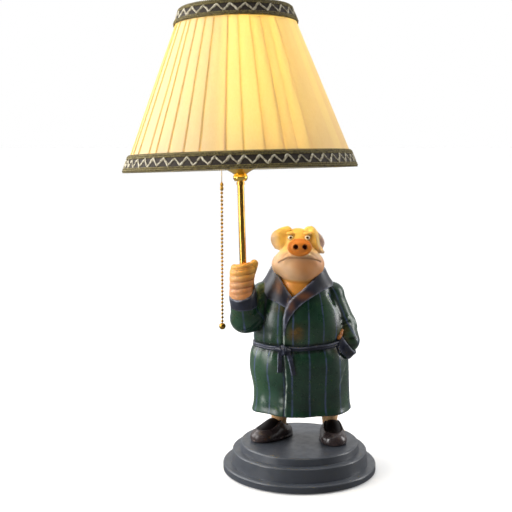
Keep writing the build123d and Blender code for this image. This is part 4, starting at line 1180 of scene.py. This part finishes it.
def sculpt_head():
    clay = Clay((-38, -43, 204), (34, 34, 296), 0.5, 0.9)
    clay.add_ellipsoids(HEAD_FORMS)
    # snout: a trunk that flares to a flat disc
    for reach, wide, tall in ((22.0, 11.6, 10.6), (14.0, 11.0, 9.4), (8.0, 11.4, 8.8), (3.0, 12.6, 9.4)):
        clay.add_ellipsoid(SNOUT_CENTRE - SNOUT_NORMAL * reach, (wide, 6.5, tall), 3.5)
    where, p = clay.window((-20, -43, 256), (16, -20, 287))
    q = [p[i] - SNOUT_CENTRE[i] for i in range(3)]
    deep, up = snout_frame(q)
    flare = 1 + 0.012 * np.clip(deep + 6, 0, 6)
    k0 = np.sqrt((q[0] / (13.4 * flare)) ** 2 + (up / (9.7 * flare)) ** 2) + 1e-5
    disc = soft_max((k0 - 1) * 9.7, np.abs(deep + 2.6) - 2.9, 2.2)
    clay.merge(where, disc, 1.6)
    clay.value[where] -= 0.35 * bell(k0 - 0.86, 0.1) * (deep > -1.5)
    for x0, z0 in NOSTRILS:
        clay.add_limb(((x0, -42.0, z0 + 1.2), (x0 * 0.9, -33.0, z0 - 1.0)), (2.95, 2.4), 0.7, cut=True)
    # mouth: a thin groove with the upper lip over it
    clay.ridge(clay.on_front([(x, z + 2.4) for x, z in MOUTH]), 2.4, 0.9)
    clay.ridge(clay.on_front([(x, z - 3.4) for x, z in MOUTH[2:-2]]), 3.2, 0.5)
    groove = clay.on_front(MOUTH)
    clay.add_limb(groove, [0.3] + [0.75] * (len(groove) - 2) + [0.3], 0.4, cut=True)
    # a crease on each side between the snout and the mouth's corner
    for line in (((-15.0, 263.5), (-18.5, 260.5), (-22.0, 257.5)),
                 ((10.0, 263.5), (14.0, 260.5), (18.0, 257.5))):
        clay.ridge(clay.on_front(line), 1.6, -0.7)
    # eye sockets
    for x0, _ in EYES:
        clay.add_ellipsoid((x0, -14.6, EYE_Z), (3.5, 2.6, 2.9), 1.2, cut=True)
    # ears
    for corners, radius, k in ((RIGHT_EAR, 1.7, 1.6), (LEFT_EAR, 1.7, 1.6), (LEFT_EAR_BACK, 1.6, 1.2)):
        add_patch(clay, corners, radius, k)
    clay.add_ellipsoids(EAR_ROOTS)
    return clay, groove


def make_head():
    clay, groove = sculpt_head()
    points, faces = clay.skin()
    px, py, pz = points.T
    deep, up = snout_frame((points - SNOUT_CENTRE).T)
    disc = np.hypot((px - SNOUT_CENTRE[0]) / 13.6, up / 9.9)
    # painted lamp light: yellower towards the top of the head
    glow = 0.95 * step_up(pz, 258.0, 274.0)
    hot = 0.95 * (disc < 1.08) * step_up(deep, -9.0, -4.0)
    chest = step_up(-pz, -234.0, -228.0) * step_up(-py, 5.0, 12.0)
    glow = np.maximum(glow, chest)
    # painted shade: orange-brown over the lower right of the jaw
    jaw_shading = 0.5 * step_up(px, -20.0, 12.0) * step_up(-pz, -262.0, -250.0) * step_up(-py, -4.0, 10.0)
    hot = np.maximum(np.maximum(hot, 0.72 * chest), jaw_shading)
    # painted cool shade on the back of the left ear and a pale painted highlight on the right ear's outer
    # part
    lilac = 0.8 * step_up(px, 19.0, 22.0) * step_up(py, -7.0, -3.0) * step_up(pz, 262.0, 264.0)
    lilac += 0.3 * step_up(-px, 24.0, 34.0) * step_up(pz, 262.0, 268.0)
    # painted shade in the mouth line, in the nostrils and round the eyes
    dark = 0.75 * bell(path_field(points.T, groove), 0.85)
    for x0, z0 in NOSTRILS:
        near = np.hypot(px - x0, pz - z0)
        dark = np.maximum(dark, 0.6 * step_up(-near, -3.6, -2.7) * step_up(deep, -9, -5))
        dark = np.maximum(dark, (near < 3.1) * (deep < -0.9) * (deep > -12))
    for x0, _ in EYES:
        near = np.hypot((px - x0) / 3.8, (pz - EYE_Z) / 3.2)
        dark = np.maximum(dark, 0.35 * bell(near - 1.0, 0.1) * (py < -9))
    head = make_mesh("head_sculpt", points, faces, attributes={
        "glow": glow * (1 - np.clip(lilac, 0, 1)), "dark": dark, "hot": hot, "lilac": np.clip(lilac, 0, 1)})
    add_piece(head, "lamp", SKIN, "skin", "head", "snout", "ear_right", "ear_left", "neck")


def make_eyes():
    """Almond eyeballs, pointed at both corners, with a rim line and a pupil."""
    rings, columns = 12, 32
    parts, outs = [], []
    turn = full_turn(columns)
    for x0, tilt in EYES:
        rows = []
        for n in range(rings + 1):
            share = n / rings
            reach = math.sin(share * math.pi / 2)
            wide = 3.3 * reach
            tall = 2.6 * reach * (1 - 0.3 * np.abs(np.cos(turn)) ** 3 * share)
            flat_x, flat_z = wide * np.cos(turn), tall * np.sin(turn)
            lean = math.radians(tilt)
            x = x0 + flat_x * math.cos(lean) - flat_z * math.sin(lean)
            z = EYE_Z + flat_x * math.sin(lean) + flat_z * math.cos(lean)
            y = -15.4 + 2.4 * (1 - math.cos(share * math.pi / 2)) + 0 * turn
            rows.append(np.stack((x, y, z), axis=1))
            outs.append(np.full(columns, share))
        parts.append((np.concatenate(rows), grid_faces(rings + 1, columns)))
    points, faces = joined(parts)
    eyes = make_mesh("eye_whites", points, faces, attributes={"out": np.concatenate(outs)})
    add_piece(eyes, "lamp", EYE, "eye_paint", "eyes")


make_head()
make_eyes()


# ================================================================ hands
# height of each finger and its radius, and how much further it reaches round the stem
FINGERS = ((248.0, 3.4, -1.6), (242.0, 4.5, 0.2), (234.8, 4.8, 0.2), (227.4, 4.8, -0.6), (220.0, 4.6, -2.6))


def make_fist():
    clay = Clay((-88, -46, 196), (-46, -6, 262), 0.42, 0.8)
    # palm and back of the hand round the stem
    clay.add_limb(((-69.0, -24.0, 217.0), (-68.5, -23.5, 240.0)), (11.5, 9.4), 1.0)
    clay.add_limb(((-63.5, -22.0, 218.0), (-62.5, -22.0, 240.0)), (8.6, 8.0), 3.0)
    clay.add_limb(((-72.4, -25.0, 217.0), (-72.6, -24.5, 240.5)), (10.2, 9.6), 2.0)
    clay.add_ellipsoid((-67.6, -26.6, 214.0), (14.2, 13.6, 10.5), 3.5)
    clay.add_limb(((-67.0, -26.0, 214.0), (-66.4, -24.5, 203.0)), (12.2, 11.6), 4.0)
    for z, r, reach in FINGERS:
        line = curved(((-76.8, -19.0, z - 1.7), (-77.6, -27.0, z - 1.3), (-75.0, -33.6, z - 0.6),
                       (-68.0, -36.6, z + 0.7), (-61.0 + reach, -35.2, z + 2.0),
                       (-57.6 + reach, -31.0, z + 2.7)), 16)
        clay.add_limb(line, np.linspace(r, 0.86 * r, len(line)), 1.3, join=0.5)
    # thumb lies up the right side
    thumb = curved(((-61.5, -20.5, 226.0), (-59.6, -23.5, 236.0), (-56.4, -25.0, 245.0),
                    (-54.2, -24.5, 251.0)), 12)
    clay.add_limb(thumb, np.linspace(6.2, 4.7, len(thumb)), 1.8, join=0.5)
    clay.ridge(((-58.0, -28.5, 245.0), (-50.0, -28.0, 244.0)), 0.8, -0.4)
    # heel crease below the little finger
    clay.ridge(((-62.0, -38.0, 212.4), (-55.0, -33.0, 215.5), (-53.0, -28.0, 220.0)), 1.2, -0.7)
    # bore for the stem
    stem = [STEM_FOOT + STEM_AXIS * s for s in (-14.0, 60.0)]
    clay.add_limb(stem, (4.0, 4.0), 0.4, cut=True)
    points, faces = clay.skin()
    px, py, pz = points.T
    # painted lamp light: yellower towards the top of the fist
    glow = 0.9 * step_up(pz, 222.0, 246.0)
    thumb_side = step_up(px, -62.0, -56.0) * step_up(pz, 232.0, 244.0)
    gaps = np.array([(a[0] + b[0]) / 2 for a, b in zip(FINGERS, FINGERS[1:])])
    slope = (px + 69.0) * 0.19
    near = np.min(np.abs(pz[:, None] - slope[:, None] - 0.3 - gaps[None]), axis=1)
    # painted shade in the creases between the fingers
    dark = 0.45 * bell(near, 0.75) * (py < -30)
    hot = 0.42 + 0.2 * step_up(px, -72.0, -60.0) - 0.45 * thumb_side
    # painted shade over the lower part of the fist
    dark = dark + 0.14 * (1 - step_up(pz, 226.0, 240.0))
    fist = make_mesh("fist", points, faces,
                     attributes={"glow": glow, "dark": dark, "hot": hot, "lilac": 0.0})
    add_piece(fist, "lamp", SKIN, "skin", "fist_right")


def make_left_hand():
    clay = Clay((32, -34, 144), (60, 0, 182), 0.42, 0.8)
    clay.add_limb(((48.6, -9.0, 169.5), (47.0, -11.5, 166.0), (45.0, -14.0, 162.8)), (2.6, 3.0, 3.3), 0.8,
                  join=1.0)
    clay.add_limb(((44.0, -10.0, 160.0), (42.0, -14.0, 155.0)), (4.6, 2.2), 1.0)
    points, faces = clay.skin()
    # painted shade over the half-hidden hand, darkest in a line across it
    dark = 0.25 + 0.4 * bell(points[:, 2] - 166.5, 1.2)
    hand = make_mesh("pocket_hand", points, faces,
                     attributes={"glow": 0.4, "hot": 0.8, "lilac": 0.0, "dark": dark})
    add_piece(hand, "lamp", SKIN, "skin", "hand_left")


make_fist()
make_left_hand()


# ================================================================ legs and slippers
def make_leg(name, x, y, node):
    outline = ((8.4, 48.0), (8.8, 54.0), (9.6, 60.0), (10.4, 66.0), (11.0, 73.0), (11.3, 83.8))

    def wobble(turn, height):
        return 1 + 0.03 * np.cos(turn * 2 + 0.4) * (height < 62)

    leg = lathe(name, outline, (x, y, 0), (0, 0, 1), 48, wobble)
    z = np.array([v.co.z for v in leg.data.vertices]) / MM
    # dark paints shade round the ankle, just above the slipper
    add_values(leg.data, {"glow": 0.12, "hot": 0.12, "lilac": 0.0, "dark": 0.35 * bell(z - 52, 6)})
    add_piece(leg, "lamp", SKIN, "skin", node)


SLIPPER_FORMS = (
    # heel, instep, forefoot and toe
    ((-1.0, 0.0, 39.5), (17.6, 13.2, 11.0), 0.0),
    ((8.5, 0.0, 41.0), (17.5, 13.8, 17.5), 6.0),
    ((23.0, 0.0, 39.0), (18.5, 15.4, 11.0), 8.0),
    ((29.0, 0.0, 38.0), (12.5, 13.6, 9.0), 5.0))


def vamp_oval(x, y):
    """1 on the rim of the vamp and less inside it."""
    return np.hypot((x - 18.0) / 17.0, y / 10.6)


def make_slipper(name, heel, degrees, node):
    """Loafer: rounded toe, low sides behind the ankle, and a dark vamp inside a piped rim."""
    clay = Clay((-26, -22, 32), (52, 22, 64), 0.55, 0.9)
    x, y, z = clay.p
    shape = None
    for centre, radii, k in SLIPPER_FORMS:
        part = ellipsoid_field(clay.p, centre, radii)
        shape = part if shape is None else soft_min(shape, part, k)
    clay.value = shape.astype(np.float32)
    clay.value = soft_max(clay.value, 35.0 - z, 1.2)
    # low topline behind the ankle
    clay.value = soft_max(clay.value, z - 48.0 - np.clip(x + 5.0, 0, 20) * 0.95, 2.0)
    # opening for the leg
    clay.add_limb(((-1.5, 0, 44.0), (-2.5, 0, 66.0)), (9.4, 9.8), 1.2, cut=True)
    # vamp: a sunk oval with a raised piping round it
    oval = vamp_oval(x, y)
    clay.value += 0.8 * step_up(-oval, -1.0, -0.88) * (z > 42)
    clay.value -= 0.6 * bell(oval - 1.07, 0.07) * (z > 42)
    # sole
    sole = ellipsoid_field(clay.p, (11.5, 0.0, 36.2), (31.6, 15.8, 30.0))
    sole = soft_max(sole, np.abs(z - 36.1) - 1.1, 0.6)
    clay.value = soft_min(clay.value, sole, 0.4)
    points, faces = clay.skin()
    px, py, pz = points.T
    is_vamp = (vamp_oval(px, py) < 0.99) & (pz > 41)
    turn = math.radians(degrees)
    x_world = heel[0] + px * math.cos(turn) - py * math.sin(turn)
    y_world = heel[1] + px * math.sin(turn) + py * math.cos(turn)
    shoe = make_mesh(name, np.stack((x_world, y_world, pz), axis=1), faces)
    add_piece(shoe, "lamp", SLIPPER, "slipper_paint", node)
    shoe.data.materials.append(VAMP)
    vamp_faces = is_vamp[faces].mean(axis=1) > 0.5
    shoe.data.polygons.foreach_set("material_index", vamp_faces.astype(np.int32))


make_leg("shin_right", -23.8, 17.0, "leg_right")
make_leg("shin_left", 37.5, 14.0, "leg_left")
make_slipper("shoe_right", (-23.8, 17.0), 223.0, "slipper_right")
make_slipper("shoe_left", (39.5, 14.0), -88.0, "slipper_left")


# ================================================================ carried-over CAD nodes
def dress(material, *names):
    for name in names:
        node = nodes[name]
        node.data.materials.clear()
        node.data.materials.append(material)


dress(PLINTH, "plinth")
dress(thread_paint("felt_grey", rgb(70, 72, 76), rgb(50, 52, 56), 0.95, 600.0), "felt_pad")
dress(STEEL, "bottom_cover", "cover_screws", "leg_screw", "leg_nipple", "nipple_nuts")
dress(metal("cast_iron", rgb(70, 68, 66), rgb(50, 48, 47), 0.6), "ballast_ring")
dress(moulded("black_rubber", rgb(24, 24, 25), rgb(34, 34, 36), 0.6), "cord_grommet")
dress(moulded("terminal_nylon", rgb(226, 222, 208), rgb(210, 206, 190), 0.45), "terminal_block")
dress(moulded("lead_sheath_pvc", rgb(196, 176, 120), rgb(182, 160, 106), 0.4), "internal_lead")
dress(BRASS, "stem_tube", "stem_collar", "lampholder_cap", "lampholder_shell", "chain_guide", "pull_pin",
      "shade_ring")
dress(LAMPLIT_BRASS, "stem_knop", "brass_cup")
dress(moulded("porcelain_white", rgb(236, 234, 228), rgb(224, 222, 214), 0.2), "lampholder_core")
dress(STEEL, "screw_sleeve", "centre_contact", "bulb_cap", "bulb_filament")
dress(BULB_GLASS, "bulb_glass")
dress(WHITE_WIRE, "shade_frame", "shade_carrier")
dress(CHAIN_BRASS, "bead_chain", "chain_ball")
nodes["bulb_glass"].visible_shadow = False


# ================================================================ floor, light and world
FLOOR_HALF = 90000.0
# name, place in m, height it is aimed at, size in m, power in W
SOFTBOXES = (
    ("softbox_left", (-1.0, -0.55, 0.5), 0.2, (0.3, 0.9), 9.0),
    ("softbox_side", (-1.2, 0.3, 0.6), 0.25, (0.8, 0.9), 10.0),
    ("softbox_right", (1.2, 0.2, 0.5), 0.2, (0.35, 0.9), 8.0),
    ("softbox_front", (-0.3, -1.6, 1.2), 0.2, (0.9, 0.5), 0.8))


def make_floor():
    """Pale floor that reaches the horizon; it sends less light back up than it shows."""
    k = Looks("studio_floor")
    tone = k.mix(k.noise(3.0), (0.78, 0.78, 0.78, 1), (0.8, 0.8, 0.8, 1))
    shown = k.principled(base_color=tone, roughness=0.9, specular_ior_level=0.0, emission_color=(1, 1, 1, 1),
                         emission_strength=0.165)
    dim = k.node("ShaderNodeBsdfDiffuse", {"Color": (0.2, 0.2, 0.2, 1)}).outputs[0]
    r = FLOOR_HALF
    floor = make_mesh("studio_floor", ((-r, -r, 0), (r, -r, 0), (r, r, 0), (-r, r, 0)), [(0, 1, 2, 3)],
                      smooth=False)
    floor.data.materials.append(k.finish(k.either(k.seen_directly(), dim, shown)))


def add_light(name, kind, energy):
    data = bpy.data.lights.new(name, kind)
    data.energy = energy
    light = bpy.data.objects.new(name, data)
    scene.collection.objects.link(light)
    return light


def make_lights():
    sky = add_light("soft_sky", "SUN", 1.8)
    sky.data.angle = math.radians(75)
    sky.rotation_euler = (math.radians(-9), math.radians(-21), 0)
    for name, place, aim_z, size, power in SOFTBOXES:
        box = add_light(name, "AREA", power)
        box.data.shape = "RECTANGLE"
        box.data.size, box.data.size_y = size
        box.location = place
        box.rotation_euler = (Vector((0, 0, aim_z)) - Vector(place)).to_track_quat("-Z", "Y").to_euler()
    bulb = add_light("bulb_light", "POINT", 1.2)
    bulb.data.color = (1.0, 0.79, 0.42)
    bulb.data.shadow_soft_size = 0.012
    bulb.location = (STEM_FOOT + STEM_AXIS * (BULB_S + 4.0)) * MM


def make_world():
    """White studio, bright overhead, at the sides and behind, and dim on the camera's side."""
    k = Looks("studio", world=True)
    place = k.node("ShaderNodeTexCoord").outputs["Generated"]
    depth = k.node("ShaderNodeSeparateXYZ", {0: place}).outputs["Y"]
    strength = k.span(depth, -0.6, 0.1, 0.03, 0.8)
    lit = k.node("ShaderNodeBackground", {"Color": (1, 1, 1, 1), "Strength": strength}).outputs[0]
    shown = k.node("ShaderNodeBackground", {"Color": (1, 1, 1, 1), "Strength": 1.0}).outputs[0]
    scene.world = k.finish(k.either(k.seen_directly(), lit, shown))


make_floor()
make_lights()
make_world()
scene.view_settings.view_transform = "Standard"
